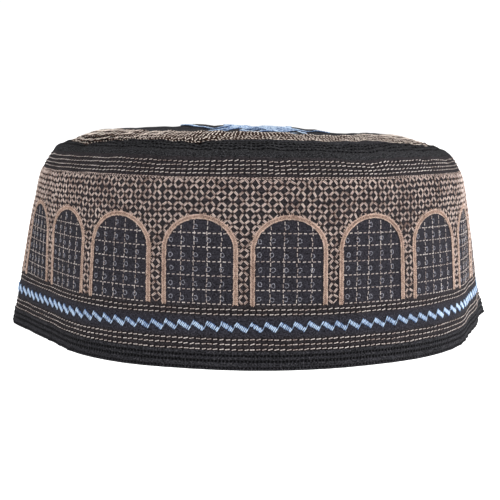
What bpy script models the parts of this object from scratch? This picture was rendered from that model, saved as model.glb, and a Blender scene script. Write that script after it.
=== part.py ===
"""Embroidered prayer cap: an oval side wall on a quilted hem, a quilted shoulder and a low crown.

Blender 4.5, metres, +Z up. The cap stands on its hem. The origin is on the ground under the middle
of the cap, and the front faces -Y. A place on the cap is given by its heading (degrees round from the
front, + towards +X), its run (millimetres up the cloth from the hem to the top of the crown) and its
depth (millimetres in from the outer face).
"""

import math
from collections import namedtuple

import bmesh
import bpy
import numpy as np
from mathutils import Vector

MM = 0.001

# Cloth, in millimetres
WALL_THICKNESS = 2.0
HEM_THICKNESS = 3.0
SHOULDER_THICKNESS = 2.6
SEAM_GAP = 0.3
EDGE_ROUNDING = 0.6

# Where the bands meet, in millimetres up the wall
HEM_TOP = 6.4
SIDE_TOP = 72.2
SHOULDER_TOP_SHARE = 0.81

# Arches, in millimetres
ARCH_COUNT = 18
ARCH_BASE_HEIGHT = 23.2
ARCH_TOP_HEIGHT = 53.6
ARCH_FOOT_WIDTH = 26.8
ARCH_CROWN_RADIUS = 13.1
ARCH_CENTRE_HEADING = 8.9
TRIM_WIDTH = 1.7
TRIM_HEIGHT = 0.9
TRIM_STANDOFF = 0.35

# Rosette on the crown, in millimetres. Its middle lies this far towards +X of the crown's.
PETAL_COUNT = 8
PETAL_INNER_RADIUS = 8.0
PETAL_OUTER_RADIUS = 32.0
PETAL_HALF_WIDTH = 6.6
PETAL_BORDER = 1.8
PETAL_FIRST_HEADING = 0.0
ROSETTE_SHIFT = 1.8

# From the middle of the plan to the origin, which is under the middle of the whole cap
ORIGIN_OFFSET = Vector((2.5, -1.5, 0.0))

# The crown stands this much higher on the left than on the right
CROWN_TILT = 0.014
CROWN_TILT_FROM = 69.0
CROWN_TILT_FULL = 79.0

# Fineness of the facets
HEADINGS = 72
ARC_STEPS = 8
PETAL_STEPS = 5

# The plan: how far the outer face is from the middle at the hem, half-way up the wall and where the
# shoulder starts. The sides have a soft corner each, where the cap is folded flat for carrying.
PlanRow = namedtuple("PlanRow", "heading hem_radius middle_radius top_radius")
PLAN = [
    PlanRow(-165, 84.6, 84.2, 82.6),
    PlanRow(-150, 85.4, 85.0, 83.4),
    PlanRow(-135, 86.6, 86.0, 84.4),
    PlanRow(-120, 88.8, 87.6, 85.4),
    PlanRow(-105, 93.4, 90.4, 86.4),
    PlanRow(-90, 100.7, 94.4, 87.0),
    PlanRow(-75, 91.8, 89.3, 85.3),
    PlanRow(-60, 87.4, 86.4, 84.1),
    PlanRow(-45, 88.8, 87.0, 83.8),
    PlanRow(-30, 88.8, 87.7, 85.0),
    PlanRow(-15, 87.2, 87.0, 85.3),
    PlanRow(0, 87.4, 86.7, 84.9),
    PlanRow(15, 87.9, 88.0, 86.8),
    PlanRow(30, 88.8, 88.8, 87.2),
    PlanRow(45, 91.2, 90.0, 86.9),
    PlanRow(60, 92.3, 90.8, 87.5),
    PlanRow(75, 92.0, 90.6, 87.0),
    PlanRow(90, 97.4, 94.2, 86.6),
    PlanRow(98, 102.0, 96.4, 86.6),
    PlanRow(105, 109.6, 98.0, 86.4),
    PlanRow(112, 102.6, 94.6, 86.1),
    PlanRow(120, 96.0, 91.0, 85.8),
    PlanRow(135, 88.6, 87.2, 84.8),
    PlanRow(150, 85.8, 85.2, 83.6),
    PlanRow(165, 84.7, 84.2, 82.7),
    PlanRow(180, 84.3, 83.8, 82.2),
]

# The upright section: height, how far the plan has turned from the hem's to the top's, and the share
# of that plan's radius that is left.
SectionRow = namedtuple("SectionRow", "height turned share")
SECTION = [
    SectionRow(0.0, 0.0, 1.0),
    SectionRow(16.0, 0.245, 1.0),
    SectionRow(33.0, 0.505, 1.0),
    SectionRow(50.0, 0.765, 1.0),
    SectionRow(62.0, 0.95, 0.999),
    SectionRow(66.8, 1.0, 0.983),
    SectionRow(70.2, 1.0, 0.959),
    SectionRow(73.1, 1.0, 0.928),
    SectionRow(75.2, 1.0, 0.885),
    SectionRow(76.9, 1.0, 0.832),
    SectionRow(78.3, 1.0, 0.778),
    SectionRow(79.8, 1.0, 0.692),
    SectionRow(81.1, 1.0, 0.540),
    SectionRow(81.7, 1.0, 0.340),
    SectionRow(81.9, 1.0, 0.160),
    SectionRow(82.0, 1.0, 0.0),
]

Finish = namedtuple("Finish", "colour roughness")
FINISHES = {
    "black_cloth": Finish((0.022, 0.021, 0.026), 0.9),
    "quilted_black_cloth": Finish((0.018, 0.018, 0.020), 0.95),
    "tan_thread": Finish((0.52, 0.36, 0.27), 0.7),
    "light_blue_thread": Finish((0.34, 0.50, 0.78), 0.6),
}


def smooth_through(places, values, at):
    """A Catmull-Rom curve through values at places, read at one place."""
    last = len(places) - 2
    i = int(min(max(np.searchsorted(places, at, side="right") - 1, 0), last))
    before, after = max(i - 1, 0), min(i + 2, last + 1)
    width = places[i + 1] - places[i]
    t = min(max((at - places[i]) / width, 0.0), 1.0)
    slope_in = (values[i + 1] - values[before]) / (places[i + 1] - places[before]) * width
    slope_out = (values[after] - values[i]) / (places[after] - places[i]) * width
    rise = values[i + 1] - values[i]
    cubic = slope_in + slope_out - 2 * rise
    square = 3 * rise - 2 * slope_in - slope_out
    return values[i] + t * (slope_in + t * (square + t * cubic))


def closed_plan(column):
    """The plan rows of one column, with two rows repeated past each end so that the curve closes."""
    rows = [(row.heading, getattr(row, column)) for row in PLAN]
    before = [(heading - 360, radius) for heading, radius in rows[-2:]]
    after = [(heading + 360, radius) for heading, radius in rows[:2]]
    headings, radii = zip(*(before + rows + after))
    return np.array(headings, float), np.array(radii)


HEM_PLAN = closed_plan("hem_radius")
MIDDLE_PLAN = closed_plan("middle_radius")
TOP_PLAN = closed_plan("top_radius")
REFERENCE_RADIUS = 86.0


def section_runs():
    """The run at each section row: the length of the section's chords from the hem."""
    runs = [0.0]
    for low, high in zip(SECTION, SECTION[1:]):
        inward = (low.share - high.share) * REFERENCE_RADIUS
        runs.append(runs[-1] + math.hypot(high.height - low.height, inward))
    return np.array(runs)


RUNS = section_runs()
FULL_RUN = float(RUNS[-1])


def section_at(run):
    """Height, turned and share at this run."""
    return [smooth_through(RUNS, [row[column] for row in SECTION], run) for column in range(3)]


def run_at_height(height):
    """The run on the wall where the section has this height."""
    heights = [section_at(run)[0] for run in np.linspace(0, FULL_RUN, 400)]
    return float(np.interp(height, heights, np.linspace(0, FULL_RUN, 400)))


def run_at_share(share):
    """The run on the shoulder or the crown where this share of the plan's radius is left."""
    runs = np.linspace(RUNS[4], FULL_RUN, 400)
    shares = [section_at(run)[2] for run in runs]
    return float(np.interp(-share, [-value for value in shares], runs))


def face_point(heading, run):
    """The place on the outer face, in millimetres."""
    height, turned, share = section_at(min(max(run, 0.0), FULL_RUN))
    heading = (heading + 180.0) % 360.0 - 180.0
    hem = smooth_through(*HEM_PLAN, heading) * (1 - turned) * (1 - 2 * turned)
    middle = smooth_through(*MIDDLE_PLAN, heading) * 4 * turned * (1 - turned)
    top = smooth_through(*TOP_PLAN, heading) * turned * (2 * turned - 1)
    radius = (hem + middle + top) * share
    angle = math.radians(heading)
    x, y = radius * math.sin(angle), -radius * math.cos(angle)
    tilt = min(max((height - CROWN_TILT_FROM) / (CROWN_TILT_FULL - CROWN_TILT_FROM), 0.0), 1.0)
    return Vector((x, y, height - CROWN_TILT * tilt * x)) - ORIGIN_OFFSET


def face_normal(heading, run):
    """The outward normal of the face, from its slopes round and up the cloth."""
    run = min(run, FULL_RUN - 0.5)
    across = face_point(heading + 0.5, run) - face_point(heading - 0.5, run)
    up = face_point(heading, run + 0.25) - face_point(heading, run - 0.25)
    return across.cross(up).normalized()


def cloth_point(heading, run, depth):
    """The place this far in from the outer face, in millimetres and never under the ground."""
    point = face_point(heading, run) - face_normal(heading, run) * depth
    point.z = max(point.z, 0.0)
    return point


def turned_body(name, section, finish):
    """A closed section of (run, depth) points taken round the cap: a ring of cloth."""
    mesh = bmesh.new()
    rings = []
    for step in range(HEADINGS):
        heading = step * 360.0 / HEADINGS
        rings.append([mesh.verts.new(cloth_point(heading, run, depth) * MM) for run, depth in section])
    for ring, following in zip(rings, rings[1:] + rings[:1]):
        for i in range(len(section)):
            j = (i + 1) % len(section)
            mesh.faces.new((ring[i], following[i], following[j], ring[j]))
    return finished_object(name, mesh, finish)


def band_section(start, end, thickness, rows):
    """The section of a band of cloth between two runs: up its outer face and down its inner one."""
    runs = np.linspace(start, end, rows + 1)
    outer = [(run, 0.0) for run in runs]
    inner = [(run, thickness) for run in reversed(runs)]
    return outer + inner


def hem_section():
    """The hem's section: flat underneath, with rounded lower edges and a thicker, padded body."""
    top = run_at_height(HEM_TOP) - SEAM_GAP / 2
    middle = top / 2
    return [
        (0.0, EDGE_ROUNDING),
        (EDGE_ROUNDING, 0.0),
        (middle, -0.25),
        (top, 0.0),
        (top, WALL_THICKNESS),
        (middle, HEM_THICKNESS),
        (EDGE_ROUNDING, HEM_THICKNESS),
        (0.0, HEM_THICKNESS - EDGE_ROUNDING),
    ]


def crown_body(name, start, thickness, rows, finish):
    """The domed disc inside this run, with a pole on each face."""
    mesh = bmesh.new()
    runs = np.linspace(start, FULL_RUN, rows + 1)[:-1]
    centre = cloth_point(0.0, FULL_RUN, 0.0)
    poles = [mesh.verts.new(centre * MM), mesh.verts.new((centre - Vector((0, 0, thickness))) * MM)]
    layers = []
    for depth in (0.0, thickness):
        layers.append([])
        for run in runs:
            points = [
                cloth_point(step * 360.0 / HEADINGS, run, depth) * MM for step in range(HEADINGS)
            ]
            layers[-1].append([mesh.verts.new(point) for point in points])
    for layer, pole in zip(layers, poles):
        for low, high in zip(layer, layer[1:]):
            join_loops(mesh, low, high)
        for i in range(HEADINGS):
            mesh.faces.new((layer[-1][i], layer[-1][(i + 1) % HEADINGS], pole))
    join_loops(mesh, layers[0][0], layers[1][0])
    return finished_object(name, mesh, finish)


def join_loops(mesh, first, second):
    for i in range(len(first)):
        j = (i + 1) % len(first)
        mesh.faces.new((first[i], first[j], second[j], second[i]))


def heading_table():
    """Headings, and the length of cloth round the middle of the wall from the front to each."""
    headings = np.linspace(-180.0, 180.0, 721)
    middle = run_at_height((ARCH_BASE_HEIGHT + ARCH_TOP_HEIGHT) / 2)
    points = np.array([face_point(heading, middle) for heading in headings])
    steps = np.linalg.norm(np.diff(points, axis=0), axis=1)
    along = np.concatenate([[0.0], np.cumsum(steps)])
    return headings, along


HEADING_STEPS, CLOTH_ALONG = heading_table()
CLOTH_ROUND = float(CLOTH_ALONG[-1])


def heading_along(start_heading, distance):
    """The heading this many millimetres of cloth round from another one."""
    start = float(np.interp(start_heading, HEADING_STEPS, CLOTH_ALONG))
    return float(np.interp((start + distance) % CLOTH_ROUND, CLOTH_ALONG, HEADING_STEPS))


def arch_path(inset):
    """(along, height) points of the arch's border line: up one side, round the crown and down."""
    half_foot = ARCH_FOOT_WIDTH / 2 - inset
    radius = ARCH_CROWN_RADIUS - inset
    spring = ARCH_TOP_HEIGHT - ARCH_CROWN_RADIUS
    foot = [(half_foot, ARCH_BASE_HEIGHT), (half_foot, (ARCH_BASE_HEIGHT + spring) / 2)]
    arc = []
    for step in range(ARC_STEPS + 1):
        angle = math.pi * step / ARC_STEPS
        arc.append((radius * math.cos(angle), spring + radius * math.sin(angle)))
    return foot + arc + [(-along, height) for along, height in reversed(foot)]


def trim_body(name, outer, inner, place, finish, closed):
    """A raised border between two lines of cloth points, as thick thread laid on the cloth.

    place(point, lift) gives the place this far out from the cloth, in millimetres.
    """
    mesh = bmesh.new()
    low, high = TRIM_STANDOFF, TRIM_STANDOFF + TRIM_HEIGHT
    rings = []
    for out, into in zip(outer, inner):
        shoulder_out = tuple(a * 0.75 + b * 0.25 for a, b in zip(out, into))
        shoulder_in = tuple(a * 0.25 + b * 0.75 for a, b in zip(out, into))
        corners = ((out, low), (shoulder_out, high), (shoulder_in, high), (into, low))
        rings.append([mesh.verts.new(place(point, lift) * MM) for point, lift in corners])
    pairs = list(zip(rings, rings[1:]))
    if closed:
        pairs.append((rings[-1], rings[0]))
    for ring, following in pairs:
        join_loops(mesh, ring, following)
    if not closed:
        mesh.faces.new(rings[0])
        mesh.faces.new(rings[-1])
    return finished_object(name, mesh, finish)


def arch_trim(number):
    pitch = CLOTH_ROUND / ARCH_COUNT
    centre = heading_along(ARCH_CENTRE_HEADING, (number - 1) * pitch)

    def place(point, lift):
        along, height = point
        return cloth_point(heading_along(centre, along), run_at_height(height), -lift)

    name = f"arch_trim_{number:02d}"
    return trim_body(name, arch_path(0.0), arch_path(TRIM_WIDTH), place, "tan_thread", closed=False)


def petal_path(inset):
    """(radius, sideways) points of a pointed petal, out along one side and back along the other."""
    inner = PETAL_INNER_RADIUS + inset * 1.8
    outer = PETAL_OUTER_RADIUS - inset * 1.8
    half_width = PETAL_HALF_WIDTH - inset
    side = []
    for step in range(PETAL_STEPS + 1):
        share = step / PETAL_STEPS
        side.append((inner + (outer - inner) * share, half_width * math.sin(math.pi * share)))
    back = [(radius, -sideways) for radius, sideways in reversed(side[1:-1])]
    return side + back


def rosette_petal(number):
    heading = math.radians(PETAL_FIRST_HEADING + (number - 1) * 360.0 / PETAL_COUNT)

    def place(point, lift):
        radius, sideways = point
        across = radius * math.sin(heading) + sideways * math.cos(heading) + ROSETTE_SHIFT
        forward = radius * math.cos(heading) - sideways * math.sin(heading)
        run = run_at_share(math.hypot(across, forward) / REFERENCE_RADIUS)
        return cloth_point(math.degrees(math.atan2(across, forward)), run, -lift)

    name = f"rosette_petal_{number:02d}"
    outer, inner = petal_path(0.0), petal_path(PETAL_BORDER)
    return trim_body(name, outer, inner, place, "light_blue_thread", closed=True)


def material_of(finish):
    material = bpy.data.materials.get(finish)
    if material:
        return material
    material = bpy.data.materials.new(finish)
    material.use_nodes = True
    shader = material.node_tree.nodes["Principled BSDF"]
    shader.inputs["Base Color"].default_value = (*FINISHES[finish].colour, 1.0)
    shader.inputs["Roughness"].default_value = FINISHES[finish].roughness
    shader.inputs["Metallic"].default_value = 0.0
    return material


def finished_object(name, mesh, finish):
    """An object from the bmesh, facing out and shaded smooth, in the cap's collection."""
    bmesh.ops.recalc_face_normals(mesh, faces=mesh.faces)
    data = bpy.data.meshes.new(name)
    mesh.to_mesh(data)
    mesh.free()
    data.materials.append(material_of(finish))
    data.shade_smooth()
    data.set_sharp_from_angle(angle=math.radians(40))
    piece = bpy.data.objects.new(name, data)
    bpy.data.collections["prayer_cap"].objects.link(piece)
    return piece


def clear_scene():
    for existing in list(bpy.data.objects):
        bpy.data.objects.remove(existing, do_unlink=True)
    bpy.context.scene.collection.children.link(bpy.data.collections.new("prayer_cap"))


def main():
    clear_scene()
    half_gap = SEAM_GAP / 2
    hem_top = run_at_height(HEM_TOP)
    side_top = run_at_height(SIDE_TOP)
    shoulder_top = run_at_share(SHOULDER_TOP_SHARE)
    turned_body("hem_band", hem_section(), "quilted_black_cloth")
    side = band_section(hem_top + half_gap, side_top - half_gap, WALL_THICKNESS, rows=6)
    turned_body("side_band", side, "black_cloth")
    shoulder = band_section(side_top + half_gap, shoulder_top - half_gap, SHOULDER_THICKNESS, rows=4)
    turned_body("shoulder_band", shoulder, "quilted_black_cloth")
    crown_body("crown_panel", shoulder_top + half_gap, WALL_THICKNESS, 7, "black_cloth")
    for number in range(1, ARCH_COUNT + 1):
        arch_trim(number)
    for number in range(1, PETAL_COUNT + 1):
        rosette_petal(number)


main()
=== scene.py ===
"""Embroidered prayer cap: the look of its cloth and thread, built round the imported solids.

Lengths in the tables are millimetres, and sizes in the panel are metres. A place on the cap is given by
its heading (degrees round from the front, + towards +X) and its run (millimetres up the cloth from the
hem). Along the wall, round is the length of cloth from the middle of the first arch, + towards +X.
"""

import math
from collections import namedtuple

import bpy
import numpy as np
from bpy.props import FloatProperty, FloatVectorProperty, IntProperty, PointerProperty
from bpy.types import Operator, Panel, PropertyGroup
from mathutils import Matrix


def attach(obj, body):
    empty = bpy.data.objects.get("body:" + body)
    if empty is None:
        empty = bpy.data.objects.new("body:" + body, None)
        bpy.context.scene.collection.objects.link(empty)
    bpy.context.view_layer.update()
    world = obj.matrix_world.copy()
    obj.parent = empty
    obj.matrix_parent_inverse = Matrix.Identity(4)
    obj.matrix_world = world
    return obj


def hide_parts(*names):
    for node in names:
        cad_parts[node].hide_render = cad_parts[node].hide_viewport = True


bl_info = {
    "name": "Embroidered prayer cap",
    "version": (1, 0, 0),
    "blender": (4, 5, 0),
    "location": "View3D > Sidebar > Prayer cap",
    "description": "Builds the quilted cloth and the embroidery of a prayer cap",
    "category": "Add Mesh",
}

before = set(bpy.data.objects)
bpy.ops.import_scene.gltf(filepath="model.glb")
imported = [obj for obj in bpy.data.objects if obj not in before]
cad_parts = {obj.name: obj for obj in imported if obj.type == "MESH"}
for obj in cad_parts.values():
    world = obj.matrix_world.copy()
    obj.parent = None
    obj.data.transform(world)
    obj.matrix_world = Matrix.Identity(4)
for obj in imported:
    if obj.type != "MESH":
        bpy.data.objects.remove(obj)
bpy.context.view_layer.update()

MM = 0.001

# The form of the cap, as the solids have it
PlanRow = namedtuple("PlanRow", "heading hem_radius middle_radius top_radius")
PLAN = [
    PlanRow(*row) for row in (
        (-165, 84.6, 84.2, 82.6), (-150, 85.4, 85.0, 83.4), (-135, 86.6, 86.0, 84.4),
        (-120, 88.8, 87.6, 85.4), (-105, 93.4, 90.4, 86.4), (-90, 100.7, 94.4, 87.0),
        (-75, 91.8, 89.3, 85.3), (-60, 87.4, 86.4, 84.1), (-45, 88.8, 87.0, 83.8),
        (-30, 88.8, 87.7, 85.0), (-15, 87.2, 87.0, 85.3), (0, 87.4, 86.7, 84.9), (15, 87.9, 88.0, 86.8),
        (30, 88.8, 88.8, 87.2), (45, 91.2, 90.0, 86.9), (60, 92.3, 90.8, 87.5), (75, 92.0, 90.6, 87.0),
        (90, 97.4, 94.2, 86.6), (98, 102.0, 96.4, 86.6), (105, 109.6, 98.0, 86.4),
        (112, 102.6, 94.6, 86.1), (120, 96.0, 91.0, 85.8), (135, 88.6, 87.2, 84.8),
        (150, 85.8, 85.2, 83.6), (165, 84.7, 84.2, 82.7), (180, 84.3, 83.8, 82.2),
    )
]
SectionRow = namedtuple("SectionRow", "height turned share")
SECTION = [
    SectionRow(*row) for row in (
        (0.0, 0.0, 1.0), (16.0, 0.245, 1.0), (33.0, 0.505, 1.0), (50.0, 0.765, 1.0),
        (62.0, 0.95, 0.999), (66.8, 1.0, 0.983), (70.2, 1.0, 0.959), (73.1, 1.0, 0.928),
        (75.2, 1.0, 0.885), (76.9, 1.0, 0.832), (78.3, 1.0, 0.778), (79.8, 1.0, 0.692),
        (81.1, 1.0, 0.540), (81.7, 1.0, 0.340), (81.9, 1.0, 0.160), (82.0, 1.0, 0.0),
    )
]
REFERENCE_RADIUS = 86.0
ORIGIN_OFFSET = np.array((2.5, -1.5, 0.0))
CROWN_TILT = 0.014
CROWN_TILT_FROM = 69.0
CROWN_TILT_FULL = 79.0

# Where the bands meet, in millimetres up the wall, and how thick each is
HEM_TOP = 6.4
SIDE_TOP = 72.2
WALL_THICKNESS = 2.0
HEM_THICKNESS = 3.0
SHOULDER_THICKNESS = 2.6

# The arches, and the height at which lengths round the wall are measured
ARCH_COUNT = 18
ARCH_CENTRE_HEADING = 8.9
ARCH_BASE_HEIGHT = 22.9
ARCH_TOP_HEIGHT = 53.4
ARCH_SPRING_HEIGHT = 41.2
ARCH_HALF_FOOT = 13.35
ARCH_BORDER_WIDTH = 1.65
MEASURED_HEIGHT = (23.2 + 53.6) / 2

# The strands of an arch's border: how far in from the arch's line, and their stitches
Strand = namedtuple("Strand", "inset slant spacing length width seed")
BORDER_STRANDS = (
    Strand(0.26, 24, 0.66, 1.3, 0.42, 71),
    Strand(1.34, -24, 0.66, 1.3, 0.40, 72),
)
BORDER_CORE = Strand(0.80, 62, 0.52, 1.0, 0.46, 73)
BORDER_LENGTH_SPREAD = 0.12
BORDER_LIFT = 0.2
COURSE_REACH = 0.3

# The tufts on an arch: how many, how long, and how many points of the line are left free at each foot
TUFTS_PER_ARCH = 40
TUFT_LENGTHS = (0.7, 1.3)
TUFT_FREE_POINTS = 30

# The grid and the eyelets in an arch: heights up the wall, and places from the arch's middle
GRID_HEIGHTS = (27.8, 32.6, 37.4, 42.3, 47.1)
GRID_PLACES = (-6.5, -2.0, 2.8, 7.5)
GRID_PITCH = 1.77
GRID_ROW_LENGTH = 1.12
GRID_COLUMN_LENGTH = 1.3
GRID_ROW_FALL = 0.012
GRID_ROW_SLANT = 3
GRID_COLUMN_LEAN = 0.01
GRID_MIDDLE_HEIGHT = 35
EYELET_HEIGHTS = (24.9, 29.8, 34.7, 39.6, 44.5, 49.3)
EYELET_PLACES = (-10.2, -5.8, -1.2, 3.4, 7.9)
EYELET_RADIUS = 0.68
EYELET_RADIUS_SPREAD = 0.07
EYELET_NARROWING = 0.85
EYELET_ROOM = 2.4
FULL_EYELET_SHARE = 0.6
EYELET_LENGTHS = (0.65, 1.0)

# Rows of running stitch: height, pitch, length, width and slant of a stitch, in millimetres and degrees
RowOfStitches = namedtuple("RowOfStitches", "height pitch length width slant")
TAN_ROWS = [
    RowOfStitches(*row) for row in (
        (7.3, 2.08, 1.70, 0.42, 9), (9.1, 2.08, 1.70, 0.42, 9), (10.8, 2.08, 1.70, 0.42, 9),
        (19.5, 2.08, 1.66, 0.40, 9), (21.1, 2.08, 1.66, 0.40, 9), (67.25, 2.08, 1.62, 0.39, 10),
        (68.55, 2.08, 1.62, 0.39, 10), (70.0, 2.08, 1.62, 0.39, 10), (71.3, 2.08, 1.62, 0.39, 10),
    )
]
LATTICE_TOP_ROWS = [
    RowOfStitches(65.75, 1.29, 1.15, 0.40, 16),
    RowOfStitches(65.3, 1.29, 1.05, 0.36, -20),
]

# Quilted rows: height up the hem or run up the shoulder, and the pitch, half width and depth of their dents
# A row's depth also sets how dark the painted shade in its holes and dents is
QuiltRow = namedtuple("QuiltRow", "height pitch half_width depth")
HEM_QUILTING = [
    QuiltRow(0.95, 1.27, 0.36, 1.0),
    QuiltRow(3.3, 1.27, 0.46, 1.6),
    QuiltRow(5.2, 1.27, 0.44, 1.4),
]
SHOULDER_QUILTING = [
    QuiltRow(*row) for row in (
        (79.0, 1.9, 0.40, 1.5), (81.3, 1.9, 0.50, 1.9), (83.5, 1.9, 0.55, 2.0), (85.6, 1.9, 0.60, 2.1),
        (87.4, 1.9, 0.60, 2.1),
    )
]

# The dents of the rows of tan thread in the wall, and the painted shade along them
PIERCED_HALF_WIDTH = 0.55
PIERCED_DEPTH_AND_SHADE = 0.6

# The lattice of thread rings, and how far out and how long the outer and inner strokes of a ring are
RINGS_PER_ARCH = 8
RING_FIRST_HEIGHT = 24.7
RING_ROW_PITCH = 3.88
RING_ROWS = 11
RING_STROKES = ((1.07, 1.98), (0.77, 2.0))
LATTICE_BOTTOM = 23.4
LATTICE_TOP = 65.2
LATTICE_BEND = 0.16
LATTICE_WANDER = 0.14

# The light-blue zigzag, as places in one block: from its left end and up the wall
BLOCK_COUNT = 112
BLOCK_START = (1.82, 16.31)
BLOCK_END = (5.48, 14.13)
BLOCK_THREADS = 8
BLOCK_THREAD_LENGTH = 1.66
BLOCK_THREAD_SLANT = 60.0
BLOCK_LENGTH_SPREAD = 0.08
BLOCK_WANDER = 0.12
LINK_START = (5.6, 13.9)
LINK_END = (6.85, 16.6)

# Width, height and lift off the cloth of each kind of stitch, and of an eyelet's in and past the first column
StitchSize = namedtuple("StitchSize", "width height lift")
GRID_ROW_STITCH = StitchSize(0.40, 0.38, 0.05)
GRID_COLUMN_STITCH = StitchSize(0.33, 0.33, 0.04)
LATTICE_STROKE = StitchSize(0.38, 0.42, 0.08)
TUFT_STITCH = StitchSize(0.32, 0.32, 0.12)
BLOCK_STITCH = StitchSize(0.53, 0.62, 0.16)
LINK_STITCH = StitchSize(0.22, 0.24, 0.06)
SHOULDER_STITCH = StitchSize(0.26, 0.2, 0.05)
EYELET_STITCHES = (StitchSize(0.42, 0.34, 0.05), StitchSize(0.37, 0.34, 0.05))

# How unevenly a hand works: how far its stitches stray in millimetres, and sway in degrees
Hand = namedtuple("Hand", "stray sway")
ROW_HAND = Hand(0.08, 4)
GRID_ROW_HAND = Hand(0.12, 5)
GRID_COLUMN_HAND = Hand(0.1, 8)
LATTICE_HAND = Hand(0.10, 6)
BORDER_HAND = Hand(0.05, 7)
TUFT_SWAY = 14
EYELET_HAND = Hand(0.16, 16)
BLOCK_HAND = Hand(0.06, 5)
STROKE_STRAY = 0.06
RING_HEADING_STRAY = 0.12
RING_TILT_STRAY = 0.1
RING_SHARE_STRAY = 0.02
CIRCLE_HEADING_STRAY = 0.08
CIRCLE_SHARE_STRAY = 0.012
SATIN_COURSE_STRAY = 0.12

# The crown's stitched ring: spokes between two shares of its width, and circles of slanted stitches
RING_ARMS = 290
RING_MEAN_RADIUS = 68.0
RING_FLATNESS = 0.7
RING_LIFT = 0.06
Spokes = namedtuple("Spokes", "low high lean width seed")
RING_SPOKES = (
    Spokes(0.02, 0.34, 0.10, 0.46, 61),
    Spokes(0.34, 0.67, 0.10, 0.46, 61),
    Spokes(0.72, 0.93, 0.40, 0.44, 63),
)
Circle = namedtuple("Circle", "share pitch length width slant seed")
RING_CIRCLES = (
    Circle(0.0, 1.3, 1.0, 0.42, 0.03, 66),
    Circle(0.70, 1.3, 0.9, 0.34, 0.06, 67),
    Circle(0.98, 1.30, 1.0, 0.44, 0.07, 68),
)

# By heading, the ring's inner and outer radius and the plain radius that its inner edge stands as high as
RING_EDGES = (
    (-150, 58.5, 68.5, 54.0), (-120, 61.0, 71.0, 57.0), (-90, 66.0, 73.0, 63.5),
    (-75, 65.0, 73.8, 59.0), (-61, 63.0, 75.0, 50.0), (-57, 62.6, 75.8, 49.0), (-52, 61.6, 73.3, 49.5),
    (-45, 60.4, 71.2, 52.0), (-40, 59.9, 70.4, 54.5), (-35, 59.4, 69.8, 55.8), (-27, 58.8, 70.0, 56.0),
    (-20, 58.6, 70.6, 54.0), (-15, 58.6, 72.4, 52.5), (-13, 58.5, 70.4, 52.0), (-11, 58.4, 68.4, 51.5),
    (-4, 58.0, 67.3, 51.5), (0, 58.0, 67.4, 52.5), (12, 58.0, 67.0, 54.5), (22, 58.4, 66.4, 55.5),
    (32, 59.0, 65.2, 54.0), (40, 59.6, 65.6, 53.5), (46, 60.4, 67.6, 53.5), (55, 61.6, 70.8, 54.0),
    (65, 63.0, 73.0, 56.0), (80, 64.0, 73.0, 60.0), (90, 64.5, 71.0, 61.5), (120, 61.0, 71.0, 58.0),
    (150, 58.5, 68.5, 54.0), (180, 58.0, 68.0, 53.0),
)

# The rosette: its petals, how much of each is filled with satin rows, and how high its cloth puffs up
ROSETTE_SHIFT = 1.8
PETAL_COUNT = 8
PETAL_INNER_RADIUS = 8.0
PETAL_OUTER_RADIUS = 32.0
PETAL_HALF_WIDTH = 6.6
DIAGONAL_PETAL_SHARE = 0.93
PETAL_FILLED_SHARES = (0.62, 0.62, 0.30, 0.42, 0.42, 0.42, 0.22, 0.62)
PETAL_PUFFS = (0.35, 0.45, 0.7, 0.3, 0.25, 0.3, 1.1, 0.5)
PETAL_OUTLINE_INSET = 1.1
FILL_ROW_SIDES = np.arange(-4.6, 4.7, 0.62)
FILL_STITCH_PITCH = 1.9
FILL_HALF_STITCH = 1.15
EYE_RADII = (1.2, 2.6, 4.0)
VEIN_SIDES = (-0.8, 0.8)

# Satin stitches of the rosette: spacing along a line, length, lean in degrees, width and lift
Satin = namedtuple("Satin", "spacing length lean width lift")
PETAL_SATIN = Satin(0.52, 2.3, 66, 0.58, 0.12)
VEIN_SATIN = Satin(0.6, 1.7, 35, 0.55, 0.1)
EYE_SATIN = Satin(0.55, 1.6, 70, 0.55, 0.15)
SATIN_COURSE_REACH = 0.4
SATIN_LENGTH_SPREAD = 0.1

# How far the crown stands above its plain form, by how far to the side a place is
CROWN_LIFTS = (
    (-80, -0.50), (-75, -0.75), (-71, -0.95), (-67, -0.80), (-63, -0.55), (-54, -0.65), (-50, -0.60),
    (-46, -0.40), (-38, -0.30), (-34, -0.40), (-29, 0.05), (-25, -0.13), (-21, -0.33), (-17, -0.90),
    (-13, -0.44), (-8.5, 0.35), (-4, 0.32), (0, 0.10), (4, 0.56), (8, 0.43), (12, 0.00), (17, -0.22),
    (21, -0.79), (25, -0.79), (29, -1.40), (37, -1.25), (42, -1.07), (50, -0.90), (54, -1.45),
    (58.5, -1.80), (63, -1.00), (67, -0.85), (71, -0.50), (75, 0.20), (80, 0.10),
)
LIFTS_FADE_FRONT = (12.0, 34.0)
LIFTS_FADE_BACK = (42.0, 64.0)
LIFTS_BEGIN = (78.0, 84.0)

# How deep the crown's trough is by heading, and what share of that it has by the distance from its middle
TROUGHS = (
    (-110, 0.2), (-90, 0.3), (-70, 1.1), (-45, 1.6), (0, 1.4), (25, 1.8), (45, 2.0), (70, 1.8),
    (90, 1.5), (115, 0.6), (180, 0.5),
)
TROUGH_SHARES = ((0, 0.3), (10, 0.4), (20, 0.7), (28, 1), (42, 0.85), (54, 0))
TROUGH_BEGINS = (2.0, 18.0)

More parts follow.
